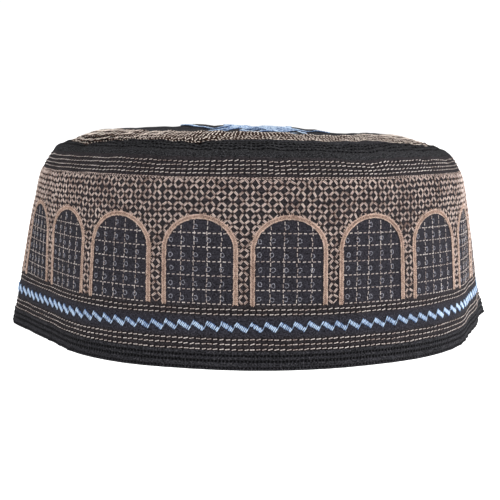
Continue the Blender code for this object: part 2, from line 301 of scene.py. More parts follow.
# How far down the rows under the shoulder sag, by heading
SAGS = (
    (-180, 0.3), (-165, 0.3), (-150, 0.7), (-130, 0.2), (-110, 0.4), (-90, 0.4), (-70, 0.3), (-44, 0.1),
    (-28, 0.0), (-24.9, 0.02), (-23.5, 0.5), (-18, 0.5), (-7, 0.2), (0, 0.1), (3.4, 0.2), (6.6, 0.75),
    (9.8, 0.25), (16.6, 0.1), (21, 0.3), (25, 0.65), (29.5, 1.25), (32.5, 0.8), (36, 0.3), (51, 0.3),
    (55, 0.7), (70, 0.75), (86, 0.5), (100, 0.6), (125, 0.2), (148, 0.7), (165, 0.2),
)
SAG_BEGIN_HEIGHTS = (64.5, 72.0)
SAG_ENDS = (77.0, 86.0)

# Short folds that pull the shoulder in
Crease = namedtuple("Crease", "heading run depth half_width half_run")
CREASES = [
    Crease(*row) for row in (
        (-14.4, 81.5, 0.9, 1.1, 3.2), (7.0, 74.4, 0.8, 1.6, 2.0), (30.0, 74.0, 0.9, 1.8, 2.2),
        (-58.0, 78.0, 0.6, 2.5, 3.5), (56.0, 77.0, 0.6, 2.2, 3.0), (104.0, 77.0, 0.8, 2.4, 4.0),
        (148.0, 75.0, 0.8, 2.0, 2.6), (-150.0, 76.0, 0.8, 2.2, 3.0), (-100.0, 78.0, 0.6, 2.4, 3.4),
    )
]

# Waves in the cloth: how many go round the cap, how fast they turn up the cloth, size, and how many are added
Waves = namedtuple("Waves", "seed counts slopes size number", defaults=(9,))
WIDE_WAVES = Waves(11, (3, 11), (0.0, 0.05), 0.7)
FINE_WAVES = Waves(12, (14, 46), (0.03, 0.22), 0.32)
SHOULDER_LUMPS = Waves(13, (20, 60), (0.1, 0.5), 0.45)
HEM_PUCKERS = Waves(21, (60, 150), (0.2, 1.0), 0.22)
HEM_EDGE_WAVES = Waves(22, (20, 140), (0.0, 0.01), 0.22)
WALL_WAVES = Waves(25, (60, 160), (0.3, 1.2), 0.05)
SHOULDER_PUCKERS = Waves(27, (50, 170), (0.3, 1.4), 0.35)
SHOULDER_DENTS = Waves(28, (60, 170), (0.6, 2.6), 0.10, 14)
CROWN_WRINKLES = Waves(33, (20, 70), (0.1, 0.6), 0.10)

# Runs over which the shoulder's lumps begin and end, and over which the waves grow from the hem
LUMPS_BEGIN = (62.0, 76.0)
LUMPS_END = (108.0, 125.0)
HEM_SEAT = (0.0, 9.0)

# How finely the cloth is meshed: headings round it, and rows on its outer and inner faces
BAND_HEADINGS = 560
CROWN_HEADINGS = 300
HEM_ROWS = (26, 7)
WALL_ROWS = (56, 9)
SHOULDER_ROWS = (34, 7)
CROWN_ROWS = (56, 8)

# Where the crown's cloth begins, and how rows of stitches pull the wall in
CROWN_EDGE_SHARE = 0.81
PULL_DEPTH = 0.16
PULL_HALF_WIDTH = 0.7

# The camera, in metres, degrees and millimetres
CAMERA_PLACE = (-0.0025, -0.42182, 0.08403)
CAMERA_PITCH = 7.185
CAMERA_ROLL = 0.405
CAMERA_LENS = 72.485
CAMERA_SENSOR = 36.0
CAMERA_CLIP = (0.01, 50.0)

# The lights: place in metres, size, and the setting that holds the power
AreaLight = namedtuple("AreaLight", "name place size power")
LIGHTS = (
    AreaLight("front_left_light", (-1.13, -0.79, 0.85), 0.9, "left_power"),
    AreaLight("front_light", (0.34, -1.26, 0.96), 0.8, "front_power"),
    AreaLight("right_light", (1.54, -0.02, 0.46), 0.9, "side_power"),
)
LIGHT_AIM = (0.0, 0.0, 0.04)
WHITE = (1.0, 1.0, 1.0, 1.0)
FLOOR_SIDES = 96
FLOOR_RING_SHARES = (0.05, 0.3, 1.0)
FLOOR_GRAIN_NOISE = (300.0, 3.0)
FLOOR_GRAIN_SHADE = 0.985


def colour(name, description, default):
    """A colour setting."""
    told = {"name": name, "description": description, "default": default}
    return FloatVectorProperty(**told, subtype="COLOR", size=3, min=0, max=1)


def size(name, description, default):
    """A length setting, in metres."""
    return FloatProperty(name=name, description=description, default=default, unit="LENGTH")


def power(name, description, default):
    """The setting of a light's power, in watts."""
    return FloatProperty(name=name, description=description, default=default, unit="POWER")


class ClothSettings(PropertyGroup):
    """Sizes and colours of the cloth."""

    weave_pitch: size("Weave pitch", "Distance between the yarns of the cloth", 0.00045)
    wave_depth: size("Wave depth", "How far the wall waves in and out", 0.00035)
    quilt_depth: size("Quilting depth", "How deep the quilted rows sink", 0.00045)
    black: colour("Quilted cloth", "Colour of the quilted black cloth", (0.0255, 0.0250, 0.0290))
    shoulder: colour(
        "Shoulder cloth", "Colour of the quilted cloth over the shoulder", (0.0230, 0.0230, 0.0255)
    )
    field: colour(
        "Arch fields", "Colour of the cloth in the arches and under the zigzag", (0.0255, 0.0250, 0.0330)
    )
    warm: colour(
        "Cloth under tan thread", "Colour of the cloth between rows of tan thread", (0.0255, 0.0220, 0.0245)
    )
    under_ring: colour(
        "Cloth under the ring", "Colour of the cloth under the crown's stitched ring", (0.034, 0.018, 0.013)
    )
    # Painted shade: the dark colour painted into the needle holes and dents along quilted rows and rows of
    # tan thread
    hole: colour(
        "Needle holes", "Colour of the dents where quilting thread goes through", (0.0025, 0.0025, 0.0035)
    )
    lint: colour("Lint", "Colour of the fine fluff on the cloth", (0.16, 0.15, 0.15))


class ThreadSettings(PropertyGroup):
    """Sizes and colours of the thread."""

    tan: colour("Tan thread", "Lit colour of the tan thread", (0.82, 0.675, 0.61))
    tan_shade: colour(
        "Tan thread, shaded", "Colour between its plies and at its ends", (0.105, 0.047, 0.030)
    )
    pale: colour("Pale thread", "Lit colour of the thread of the running rows", (1.0, 0.92, 0.88))
    ring: colour("Crown ring thread", "Lit colour of the thread of the crown's ring", (1.0, 0.88, 0.78))
    satin: colour("Border thread", "Lit colour of the arches' satin borders", (0.78, 0.585, 0.485))
    core: colour(
        "Border core thread", "Lit colour of the stitches along the middle of a border", (0.55, 0.385, 0.305)
    )
    blue: colour("Light-blue thread", "Lit colour of the blue thread", (0.66, 0.82, 1.0))
    blue_shade: colour(
        "Light-blue thread, shaded", "Colour between its plies and at its ends", (0.070, 0.160, 0.39)
    )
    grey: colour("Eyelet thread", "Lit colour of the grey eyelet thread", (0.36, 0.36, 0.42))
    grey_shade: colour(
        "Eyelet thread, shaded", "Colour between its plies and at its ends", (0.05, 0.05, 0.065)
    )
    black: colour("Quilting thread", "Colour of the black quilting thread", (0.026, 0.026, 0.030))
    black_shade: colour(
        "Quilting thread, shaded", "Colour between its plies and at its ends", (0.006, 0.006, 0.008)
    )
    ply_pitch: size("Ply pitch", "Length of one turn of the thread's twist", 0.00068)
    unevenness: FloatProperty(
        name="Unevenness", description="How much stitches differ in width and length",
        default=0.12, subtype="FACTOR", min=0, max=1,
    )
    seed: IntProperty(name="Seed", description="Seed of the hand-guided unevenness", default=7)


class StageSettings(PropertyGroup):
    """Floor, lights and camera."""

    floor_radius: size("Floor radius", "Radius of the round floor", 6.0)
    floor_colour: colour("Floor colour", "Colour of the white floor", (0.92, 0.92, 0.92))
    floor_glow: FloatProperty(
        name="Floor glow", description="How much light the white floor gives", default=0.25,
    )
    daylight: FloatProperty(
        name="Room light", description="Strength of the even white room light", default=0.46,
    )
    backdrop: FloatProperty(
        name="Backdrop", description="Brightness of the white room as seen", default=1.05,
    )
    left_power: power("Left light", "Power of the front left light", 8.5)
    front_power: power("Front light", "Power of the front light", 8.0)
    side_power: power("Side light", "Power of the light from the right", 24.0)


# The form of the cloth


def smooth_through(places, values, at):
    """A Catmull-Rom curve through values at places, read at many places."""
    at = np.asarray(at, float)
    last = len(places) - 2
    i = np.clip(np.searchsorted(places, at, side="right") - 1, 0, last)
    before, after = np.maximum(i - 1, 0), np.minimum(i + 2, last + 1)
    width = places[i + 1] - places[i]
    t = np.clip((at - places[i]) / width, 0.0, 1.0)
    slope_in = (values[i + 1] - values[before]) / (places[i + 1] - places[before]) * width
    slope_out = (values[after] - values[i]) / (places[after] - places[i]) * width
    rise = values[i + 1] - values[i]
    cubic = slope_in + slope_out - 2 * rise
    square = 3 * rise - 2 * slope_in - slope_out
    return values[i] + t * (slope_in + t * (square + t * cubic))


def closed_plan(column):
    """The plan rows of one column, with two rows repeated past each end so that the curve closes."""
    rows = [(row.heading, getattr(row, column)) for row in PLAN]
    before = [(heading - 360, radius) for heading, radius in rows[-2:]]
    after = [(heading + 360, radius) for heading, radius in rows[:2]]
    headings, radii = zip(*(before + rows + after))
    return np.array(headings, float), np.array(radii)


HEM_PLAN = closed_plan("hem_radius")
MIDDLE_PLAN = closed_plan("middle_radius")
TOP_PLAN = closed_plan("top_radius")
SECTION_TABLE = np.array(SECTION, float)
SECTION_STEPS = np.hypot(np.diff(SECTION_TABLE[:, 0]), np.diff(SECTION_TABLE[:, 2]) * REFERENCE_RADIUS)
RUNS = np.concatenate([[0.0], np.cumsum(SECTION_STEPS)])
FULL_RUN = float(RUNS[-1])


def section_at(run):
    """Height, turned and share at these runs."""
    return [smooth_through(RUNS, SECTION_TABLE[:, column], run) for column in range(3)]


FINE_RUNS = np.linspace(0.0, FULL_RUN, 4000)
FINE_HEIGHTS, _, FINE_SHARES = section_at(FINE_RUNS)


def run_at_height(height):
    """The runs on the wall where the section has these heights."""
    return np.interp(height, FINE_HEIGHTS, FINE_RUNS)


def run_at_radius(radius):
    """The runs on the crown that are this far from its middle."""
    return np.interp(-np.asarray(radius, float) / REFERENCE_RADIUS, -FINE_SHARES, FINE_RUNS)


def plain_face(heading, run):
    """Places on the outer face of the solids, in millimetres."""
    heading, run = np.broadcast_arrays(np.asarray(heading, float), np.asarray(run, float))
    height, turned, share = section_at(np.clip(run, 0.0, FULL_RUN))
    heading = (heading + 180.0) % 360.0 - 180.0
    radius = smooth_through(*HEM_PLAN, heading) * (1 - turned) * (1 - 2 * turned)
    radius = radius + smooth_through(*MIDDLE_PLAN, heading) * 4 * turned * (1 - turned)
    radius = (radius + smooth_through(*TOP_PLAN, heading) * turned * (2 * turned - 1)) * share
    angle = np.radians(heading)
    x, y = radius * np.sin(angle), -radius * np.cos(angle)
    tilt = np.clip((height - CROWN_TILT_FROM) / (CROWN_TILT_FULL - CROWN_TILT_FROM), 0.0, 1.0)
    return np.stack([x, y, height - CROWN_TILT * tilt * x], axis=-1) - ORIGIN_OFFSET


def unit(vectors):
    return vectors / np.maximum(np.linalg.norm(vectors, axis=-1, keepdims=True), 1e-9)


# How near the crown's middle a slope is taken, and over what half angle and half run
POLE_MARGIN = 2.0
SLOPE_HALF_ANGLE = 0.5
SLOPE_HALF_RUN = 0.25


def face_normal(heading, run):
    """The outward normals of the face, from its slopes round and up the cloth."""
    heading, run = np.broadcast_arrays(np.asarray(heading, float), np.asarray(run, float))
    run = np.minimum(run, FULL_RUN - POLE_MARGIN)
    across = plain_face(heading + SLOPE_HALF_ANGLE, run) - plain_face(heading - SLOPE_HALF_ANGLE, run)
    up = plain_face(heading, run + SLOPE_HALF_RUN) - plain_face(heading, run - SLOPE_HALF_RUN)
    return unit(np.cross(across, up))


ROUND_HEADINGS = np.linspace(-180.0, 180.0, 3601)


def round_table():
    """The length of cloth round the wall, from the back to each of the headings."""
    points = plain_face(ROUND_HEADINGS, run_at_height(MEASURED_HEIGHT))
    steps = np.linalg.norm(np.diff(points, axis=0), axis=1)
    return np.concatenate([[0.0], np.cumsum(steps)])


ROUND_LENGTHS = round_table()
CLOTH_ROUND = float(ROUND_LENGTHS[-1])
ARCH_PITCH = CLOTH_ROUND / ARCH_COUNT
ROUND_START = float(np.interp(ARCH_CENTRE_HEADING, ROUND_HEADINGS, ROUND_LENGTHS))


def heading_of(distance):
    """The headings at these lengths of cloth round from the first arch's middle."""
    return np.interp((ROUND_START + np.asarray(distance, float)) % CLOTH_ROUND, ROUND_LENGTHS, ROUND_HEADINGS)


def round_of(heading):
    """The length of cloth round from the back, the other way about."""
    return np.interp((np.asarray(heading, float) + 180.0) % 360.0 - 180.0, ROUND_HEADINGS, ROUND_LENGTHS)


def soft_step(low, high, value):
    """0 up to low, 1 from high on, and smooth between them."""
    t = np.clip((np.asarray(value, float) - low) / (high - low), 0.0, 1.0)
    return t * t * (3 - 2 * t)


def bump_at(value, centre, half_width):
    """1 at the centre, falling smoothly to 0 about two half widths away."""
    return np.exp(-(((np.asarray(value, float) - centre) / half_width) ** 2))


def turn_from(heading, centre):
    """How many degrees these headings are round from a centre, the shorter way."""
    return (np.asarray(heading, float) - centre + 180.0) % 360.0 - 180.0


def waves(heading, run, pattern):
    """An uneven, closed pattern of gentle waves between about -1 and 1 times its size."""
    dice = np.random.default_rng(pattern.seed)
    angle = np.radians(heading)
    total = 0.0
    for _ in range(pattern.number):
        count = dice.integers(*pattern.counts)
        slope = dice.uniform(*pattern.slopes) * dice.choice((-1, 1))
        total = total + np.cos(count * angle + slope * run + dice.uniform(0, 2 * math.pi))
    return total / math.sqrt(pattern.number) * pattern.size


def height_at_radius(radius):
    """The plain crown's height this far from its middle."""
    return np.interp(-radius / REFERENCE_RADIUS, -FINE_SHARES, FINE_HEIGHTS)


def radius_at(run):
    """The plain crown's radius at these runs."""
    return np.interp(run, FINE_RUNS, FINE_SHARES) * REFERENCE_RADIUS


def ring_edges(heading):
    """The stitched ring's inner and outer edge, and the plain radius as high as its inner edge."""
    headings, *columns = (np.array(column, float) for column in zip(*RING_EDGES))
    return [np.interp(heading, headings, column, period=360.0) for column in columns]


def steeper_rim(heading, run):
    """How far the crown stands above its plain form, held up by the steep rim under the stitched ring."""
    radius = radius_at(run)
    inner, outer, level = ring_edges(heading)
    on_rim = level + (radius - inner) * (outer - level) / (outer - inner)
    plain = np.where(radius < inner, radius * level / inner, np.where(radius < outer, on_rim, radius))
    return height_at_radius(plain) - height_at_radius(radius)


def row_sag(heading, run):
    """How far down the cloth is pulled here, in millimetres."""
    begin, full = run_at_height(SAG_BEGIN_HEIGHTS)
    reach = soft_step(begin, full, run) * (1 - soft_step(*SAG_ENDS, run))
    return np.interp(heading, *zip(*SAGS), period=360.0) * reach


def cloth_waves(heading, run):
    """How far the cloth stands out from the plain form, in millimetres."""
    depth = settings().cloth.wave_depth / MM
    broad = waves(heading, run, WIDE_WAVES) + waves(heading, run, FINE_WAVES)
    over_shoulder = soft_step(*LUMPS_BEGIN, run) * (1 - soft_step(*LUMPS_END, run))
    lumps = waves(heading, run, SHOULDER_LUMPS) * over_shoulder
    seated = soft_step(*HEM_SEAT, run) * 0.8 + 0.2
    return depth * (broad * seated + lumps)


def petal_reach(number):
    """How far out a petal goes: every other one lies on a diagonal and is shorter."""
    return PETAL_OUTER_RADIUS * (DIAGONAL_PETAL_SHARE if number % 2 else 1.0)


def petal_puff(x, y):
    """How high the cloth puffs up in the petals, at places from the rosette's middle."""
    puff = np.zeros(np.shape(x))
    for number, rise in enumerate(PETAL_PUFFS):
        angle = math.radians(number * 360.0 / PETAL_COUNT)
        out = x * math.sin(angle) - y * math.cos(angle)
        side = x * math.cos(angle) + y * math.sin(angle)
        share = np.clip((out - PETAL_INNER_RADIUS) / (petal_reach(number) - PETAL_INNER_RADIUS), 0, 1)
        width = PETAL_HALF_WIDTH * np.sin(math.pi * share) + 1e-6
        inside = np.clip(1 - (side / width) ** 2, 0, 1) * (width > 0.8)
        puff = np.maximum(puff, rise * inside * np.minimum(width / PETAL_HALF_WIDTH * 1.3, 1))
    return puff


def crown_relief(heading, run):
    """The crown's own dips, and the puffed cloth in its petals, in millimetres."""
    point = plain_face(heading, run) + ORIGIN_OFFSET
    x, y = point[..., 0] - ROSETTE_SHIFT, point[..., 1]
    middle = (1 - soft_step(*LIFTS_FADE_FRONT, -y)) * (1 - soft_step(*LIFTS_FADE_BACK, y))
    lift = np.interp(x, *zip(*CROWN_LIFTS)) * middle * soft_step(*LIFTS_BEGIN, run)
    depth = np.interp(heading, *zip(*TROUGHS), period=360.0) * soft_step(*TROUGH_BEGINS, -y)
    trough = -depth * np.interp(np.hypot(x, y), *zip(*TROUGH_SHARES))
    return lift + trough + petal_puff(x, y) + steeper_rim(heading, run)


def cloth_point(heading, run, lift=0.0):
    """Places on the waving cloth, this far out from it, in millimetres and never under the ground."""
    heading, run = np.broadcast_arrays(np.asarray(heading, float), np.asarray(run, float))
    moved = run - row_sag(heading, run)
    out = cloth_waves(heading, run) + crown_relief(heading, run) + lift
    point = plain_face(heading, moved) + face_normal(heading, moved) * np.asarray(out)[..., None]
    point[..., 2] = np.maximum(point[..., 2], 0.0)
    return point


def crown_place(across, forward):
    """Heading and run of places on the crown, from its rosette's middle: towards +X and to the front."""
    across = np.asarray(across, float) + ROSETTE_SHIFT
    heading = np.degrees(np.arctan2(across, forward))
    return heading, run_at_radius(np.hypot(across, forward))


# Meshes


def settings():
    return bpy.context.scene.prayer_cap


def new_piece(name, vertices, faces, material):
    """An object from arrays, in metres at the origin, shaded smooth."""
    mesh = bpy.data.meshes.new(name)
    mesh.vertices.add(len(vertices))
    mesh.vertices.foreach_set("co", (np.asarray(vertices) * MM).astype(np.float32).ravel())
    counts = np.array([len(face) for face in faces])
    corners = np.concatenate([np.asarray(face) for face in faces])
    mesh.loops.add(int(counts.sum()))
    mesh.loops.foreach_set("vertex_index", corners.astype(np.int32))
    mesh.polygons.add(len(faces))
    mesh.polygons.foreach_set("loop_start", np.concatenate([[0], np.cumsum(counts)[:-1]]).astype(np.int32))
    mesh.update(calc_edges=True)
    mesh.validate()
    mesh.shade_smooth()
    mesh.materials.append(material)
    piece = bpy.data.objects.new(name, mesh)
    bpy.context.scene.collection.objects.link(piece)
    return piece


def ring_faces(headings, rows):
    """Quads between the rows of a closed grid round the cap: vertex number is heading * rows + row."""
    h, r = np.meshgrid(np.arange(headings), np.arange(rows), indexing="ij")
    following, above = (h + 1) % headings, (r + 1) % rows
    quads = [h * rows + r, following * rows + r, following * rows + above, h * rows + above]
    return np.stack([corner.ravel() for corner in quads], axis=1)


def paint(piece, name, values):
    """Gives a piece one number for each point, for its material to read."""
    attribute = piece.data.attributes.new(name, "FLOAT", "POINT")
    attribute.data.foreach_set("value", np.asarray(values, np.float32).ravel())


def map_cloth(piece, first, second, closes_at=None):
    """A UV map in millimetres of cloth, from two numbers for each point.

    Where the first number starts again from 0, a face that crosses that place gets it past closes_at.
    """
    mesh = piece.data
    index = np.empty(len(mesh.loops), np.int32)
    mesh.loops.foreach_get("vertex_index", index)
    values = np.stack([np.ravel(first)[index], np.ravel(second)[index]], axis=1)
    if closes_at:
        starts = np.empty(len(mesh.polygons), np.int32)
        mesh.polygons.foreach_get("loop_start", starts)
        low = np.minimum.reduceat(values[:, 0], starts)
        high = np.maximum.reduceat(values[:, 0], starts)
        sizes = np.diff(np.append(starts, len(index)))
        crossing = np.repeat(high - low > closes_at / 2, sizes)
        values[crossing & (values[:, 0] < closes_at / 2), 0] += closes_at
    layer = mesh.uv_layers.new(name="cloth_mm")
    layer.data.foreach_set("uv", values.astype(np.float32).ravel())


def finish_piece(piece, slot, *nodes):
    """Seats a piece on the cap's one body, in place of these CAD nodes."""
    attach(piece, "root")
    if nodes:
        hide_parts(*nodes)


# Node helpers


def node_of(tree, kind, inputs=None, **values):
    """A new node with its properties and its inputs' values, or links, set by name or number."""
    node = tree.nodes.new(kind)
    for name, value in values.items():
        setattr(node, name, value)
    for name, value in (inputs or {}).items():
        socket = node.inputs[name]
        if isinstance(value, bpy.types.NodeSocket):
            tree.links.new(value, socket)
        else:
            socket.default_value = value
    return node


def maths(tree, operation, *values):
    """The result of a Math node on these values or links."""
    node = node_of(tree, "ShaderNodeMath", {i: value for i, value in enumerate(values)}, operation=operation)
    return node.outputs[0]


def noise(tree, place, scale, detail, roughness=0.5):
    """The value of a noise texture at a place."""
    inputs = {"Vector": place, "Scale": scale, "Detail": detail, "Roughness": roughness}
    return node_of(tree, "ShaderNodeTexNoise", inputs).outputs[0]


def named_value(tree, name, data_type="FLOAT"):
    """A geometry tree's reading of a named attribute."""
    node = node_of(tree, "GeometryNodeInputNamedAttribute", {"Name": name}, data_type=data_type)
    return node.outputs["Attribute"]


def stored_value(tree, geometry, name, value, domain="POINT"):
    """A geometry tree's geometry with a number kept on it for its material."""
    inputs = {"Geometry": geometry, "Name": name, "Value": value}
    node = node_of(tree, "GeometryNodeStoreNamedAttribute", inputs, data_type="FLOAT", domain=domain)
    return node.outputs[0]


def random_value(tree, seed, low=0.0, high=1.0):
    """A random number for each point."""
    node = node_of(tree, "FunctionNodeRandomValue", {2: low, 3: high, "Seed": seed}, data_type="FLOAT")
    return node.outputs[1]


def new_group(name, kind, inputs, outputs):
    """A node group and its two end nodes, from its sockets' types, names and an input's default."""
    tree = bpy.data.node_groups.new(name, kind)
    for socket_type, socket_name, default in inputs:
        socket_type = f"NodeSocket{socket_type}"
        socket = tree.interface.new_socket(socket_name, in_out="INPUT", socket_type=socket_type)
        if default is not None:
            socket.default_value = default
    for socket_type, socket_name in outputs:
        tree.interface.new_socket(socket_name, in_out="OUTPUT", socket_type=f"NodeSocket{socket_type}")
    return tree, tree.nodes.new("NodeGroupInput"), tree.nodes.new("NodeGroupOutput")


def set_modifier_input(modifier, name, value):
    """Sets a Geometry Nodes modifier's input, which is found by its socket's identifier."""
    for item in modifier.node_group.interface.items_tree:
        if item.item_type == "SOCKET" and item.in_out == "INPUT" and item.name == name:
            modifier[item.identifier] = value
            return
    raise KeyError(name)


# Geometry trees


def thread_section(tree, ends):
    """The unit thread's profile, with how far across it each point is."""
    circle = node_of(tree, "GeometryNodeCurvePrimitiveCircle", {"Radius": 0.5}, mode="RADIUS")
    tree.links.new(ends.outputs["Sides"], circle.inputs["Resolution"])
    position = tree.nodes.new("GeometryNodeInputPosition")
    split = node_of(tree, "ShaderNodeSeparateXYZ", {0: position.outputs[0]})
    return stored_value(tree, circle.outputs["Curve"], "across_thread", split.outputs["X"])


def scatter_on_points(tree, ends, instance):
    """Copies of an instance on the points, each with its own turn, size and tone, made real."""
    seed, spread = ends.outputs["Seed"], ends.outputs["Turn spread"]
    axes = {"Primary Axis": named_value(tree, "out", "FLOAT_VECTOR")}
    axes["Secondary Axis"] = named_value(tree, "along", "FLOAT_VECTOR")
    turn = node_of(tree, "FunctionNodeAxesToRotation", axes, primary_axis="Z", secondary_axis="X")
    wander = random_value(tree, seed, maths(tree, "MULTIPLY", spread, -1.0), spread)
    wandered = node_of(tree, "FunctionNodeAxisAngleToRotation", {"Axis": (0, 0, 1), "Angle": wander})
    both = {"Rotation": turn.outputs[0], "Rotate By": wandered.outputs[0]}
    turned = node_of(tree, "FunctionNodeRotateRotation", both, rotation_space="LOCAL")
    low = maths(tree, "SUBTRACT", 1.0, ends.outputs["Unevenness"])
    high = maths(tree, "ADD", 1.0, ends.outputs["Unevenness"])
    factors = {i: random_value(tree, maths(tree, "ADD", seed, i + 1.0), low, high) for i in range(3)}
    uneven = node_of(tree, "ShaderNodeCombineXYZ", factors)
    own_size = named_value(tree, "size", "FLOAT_VECTOR")
    size = node_of(tree, "ShaderNodeVectorMath", {0: own_size, 1: uneven.outputs[0]}, operation="MULTIPLY")
    places = {"Points": ends.outputs["Geometry"], "Instance": instance, "Rotation": turned.outputs[0]}
    places["Scale"] = size.outputs[0]
    instances = node_of(tree, "GeometryNodeInstanceOnPoints", places)
    tone = random_value(tree, maths(tree, "ADD", seed, 9.0))
    toned = stored_value(tree, instances.outputs[0], "thread_tone", tone, "INSTANCE")
    length = node_of(tree, "ShaderNodeSeparateXYZ", {0: own_size}).outputs["X"]
    turns = maths(tree, "DIVIDE", length, ends.outputs["Ply pitch"])
    counted = stored_value(tree, toned, "thread_turns", turns, "INSTANCE")
    real = node_of(tree, "GeometryNodeRealizeInstances", {"Geometry": counted})
    smooth = node_of(tree, "GeometryNodeSetShadeSmooth", {"Geometry": real.outputs[0]})
    dressed = node_of(tree, "GeometryNodeSetMaterial", {"Geometry": smooth.outputs[0]})
    tree.links.new(ends.outputs["Material"], dressed.inputs["Material"])
    return dressed.outputs[0]


SCATTER_INPUTS = (
    ("Geometry", "Geometry", None),
    ("Int", "Sides", 5),
    ("Int", "Steps", 5),
    ("Float", "Taper", 0.0),
    ("Float", "Unevenness", 0.1),
    ("Float", "Turn spread", 0.05),
    ("Float", "Ply pitch", 0.0007),
    ("Int", "Seed", 1),
    ("Material", "Material", None),
)

# How stitches end: how close the steps crowd to the ends, how sharp the ends are and how thin they get
STEP_CROWDING = 0.28
END_SHARPNESS = 6.0
END_THINNING = 0.52


def stitch_tree():
    """Laid stitches: on each point a thread that is plump along its way and blunt at its ends."""
    name = "Laid stitches"
    if name in bpy.data.node_groups:
        return bpy.data.node_groups[name]
    tree, ends, out = new_group(name, "GeometryNodeTree", SCATTER_INPUTS, [("Geometry", "Geometry")])
    line = node_of(tree, "GeometryNodeCurvePrimitiveLine", {"Start": (-0.5, 0, 0), "End": (0.5, 0, 0)})
    steps = node_of(tree, "GeometryNodeResampleCurve", {"Curve": line.outputs[0]}, mode="COUNT")
    tree.links.new(ends.outputs["Steps"], steps.inputs["Count"])
    factor = tree.nodes.new("GeometryNodeSplineParameter").outputs["Factor"]
    centred = maths(tree, "MULTIPLY_ADD", factor, 2.0, -1.0)
    away = maths(tree, "ABSOLUTE", centred)
    crowded = maths(tree, "MULTIPLY", maths(tree, "SIGN", centred), maths(tree, "POWER", away, STEP_CROWDING))
    place = node_of(tree, "ShaderNodeCombineXYZ", {"X": maths(tree, "MULTIPLY", crowded, 0.5)}).outputs[0]
    moved = {"Geometry": steps.outputs[0], "Position": place}
    spaced = node_of(tree, "GeometryNodeSetPosition", moved).outputs[0]
    kept = stored_value(tree, spaced, "along_thread", maths(tree, "MULTIPLY_ADD", crowded, 0.5, 0.5))
    blunt = maths(tree, "MULTIPLY_ADD", maths(tree, "POWER", away, END_SHARPNESS), -END_THINNING, 1.0)
    thinner = maths(tree, "MULTIPLY", maths(tree, "SUBTRACT", 1.0, factor), ends.outputs["Taper"])
    scale = maths(tree, "MULTIPLY", blunt, maths(tree, "SUBTRACT", 1.0, thinner))
    swept = {"Curve": kept, "Profile Curve": thread_section(tree, ends), "Scale": scale, "Fill Caps": True}
    tube = node_of(tree, "GeometryNodeCurveToMesh", swept)
    tree.links.new(scatter_on_points(tree, ends, tube.outputs[0]), out.inputs["Geometry"])
    return tree


def scatter_piece(name, tree, points, along, out, sizes, material, seed=0, **options):
    """One mesh of a tree's copies on points, each turned along and out and scaled to its size."""
    thread = settings().thread
    mesh = bpy.data.meshes.new(name)
    mesh.vertices.add(len(points))
    mesh.vertices.foreach_set("co", (points * MM).astype(np.float32).ravel())
    for key, values in (("along", along), ("out", out), ("size", sizes * MM)):
        attribute = mesh.attributes.new(key, "FLOAT_VECTOR", "POINT")
        attribute.data.foreach_set("vector", np.asarray(values, np.float32).ravel())
    piece = bpy.data.objects.new(name, mesh)
    bpy.context.scene.collection.objects.link(piece)
    modifier = piece.modifiers.new("Thread", "NODES")
    modifier.node_group = tree
    values = {"Sides": 4, "Steps": 4, "Unevenness": thread.unevenness, "Turn spread": 0.05}
    values.update({"Ply pitch": thread.ply_pitch, "Seed": thread.seed + seed, "Material": material})
    values.update({key.replace("_", " ").capitalize(): value for key, value in options.items()})
    for key, value in values.items():
        set_modifier_input(modifier, key, value)
    graph = bpy.context.evaluated_depsgraph_get()
    evaluated = piece.evaluated_get(graph)
    made = bpy.data.meshes.new_from_object(evaluated, preserve_all_data_layers=True, depsgraph=graph)
    made.name = name
    piece.modifiers.remove(modifier)
    piece.data = made
    bpy.data.meshes.remove(mesh)
    return piece


Stitches = namedtuple("Stitches", "first second width height lift")

# A stitch that turns by more degrees than this is near the crown's middle
WIDE_TURN = 20


def stitches(first, second, width, height, lift=0.0):
    """A set of stitches between two sets of (heading, run) places, with their sizes in millimetres."""
    first = np.stack(np.broadcast_arrays(*first), axis=-1).reshape(-1, 2)
    second = np.stack(np.broadcast_arrays(*second), axis=-1).reshape(-1, 2)
    number = len(first)
    sizes = [np.broadcast_to(np.asarray(value, float), (number,)) for value in (width, height, lift)]
    return Stitches(first, second, *sizes)


def joined(*sets):
    """Several sets of stitches as one."""
    return Stitches(*(np.concatenate(columns) for columns in zip(*sets)))


def stitch_piece(name, work, material, **options):
    """One mesh of all the stitches in a set, laid on the cloth."""
    middle = (work.first + work.second) / 2
    turns = turn_from(work.second[:, 0], work.first[:, 0])
    crosses = np.abs(work.second[:, 0] - work.first[:, 0]) > 180
    middle[crosses, 0] = work.first[crosses, 0] + turns[crosses] / 2
    first = cloth_point(work.first[:, 0], work.first[:, 1], work.lift)
    second = cloth_point(work.second[:, 0], work.second[:, 1], work.lift)
    centre = cloth_point(middle[:, 0], middle[:, 1], work.lift)
    near_pole = np.abs(turns) > WIDE_TURN
    centre[near_pole] = (first[near_pole] + second[near_pole]) / 2
    along = second - first
    length = np.linalg.norm(along, axis=1)
    sizes = np.stack([length, work.width, work.height], axis=1)
    out = face_normal(middle[:, 0], middle[:, 1])
    return scatter_piece(name, stitch_tree(), centre, unit(along), out, sizes, material, **options)


# Shader groups


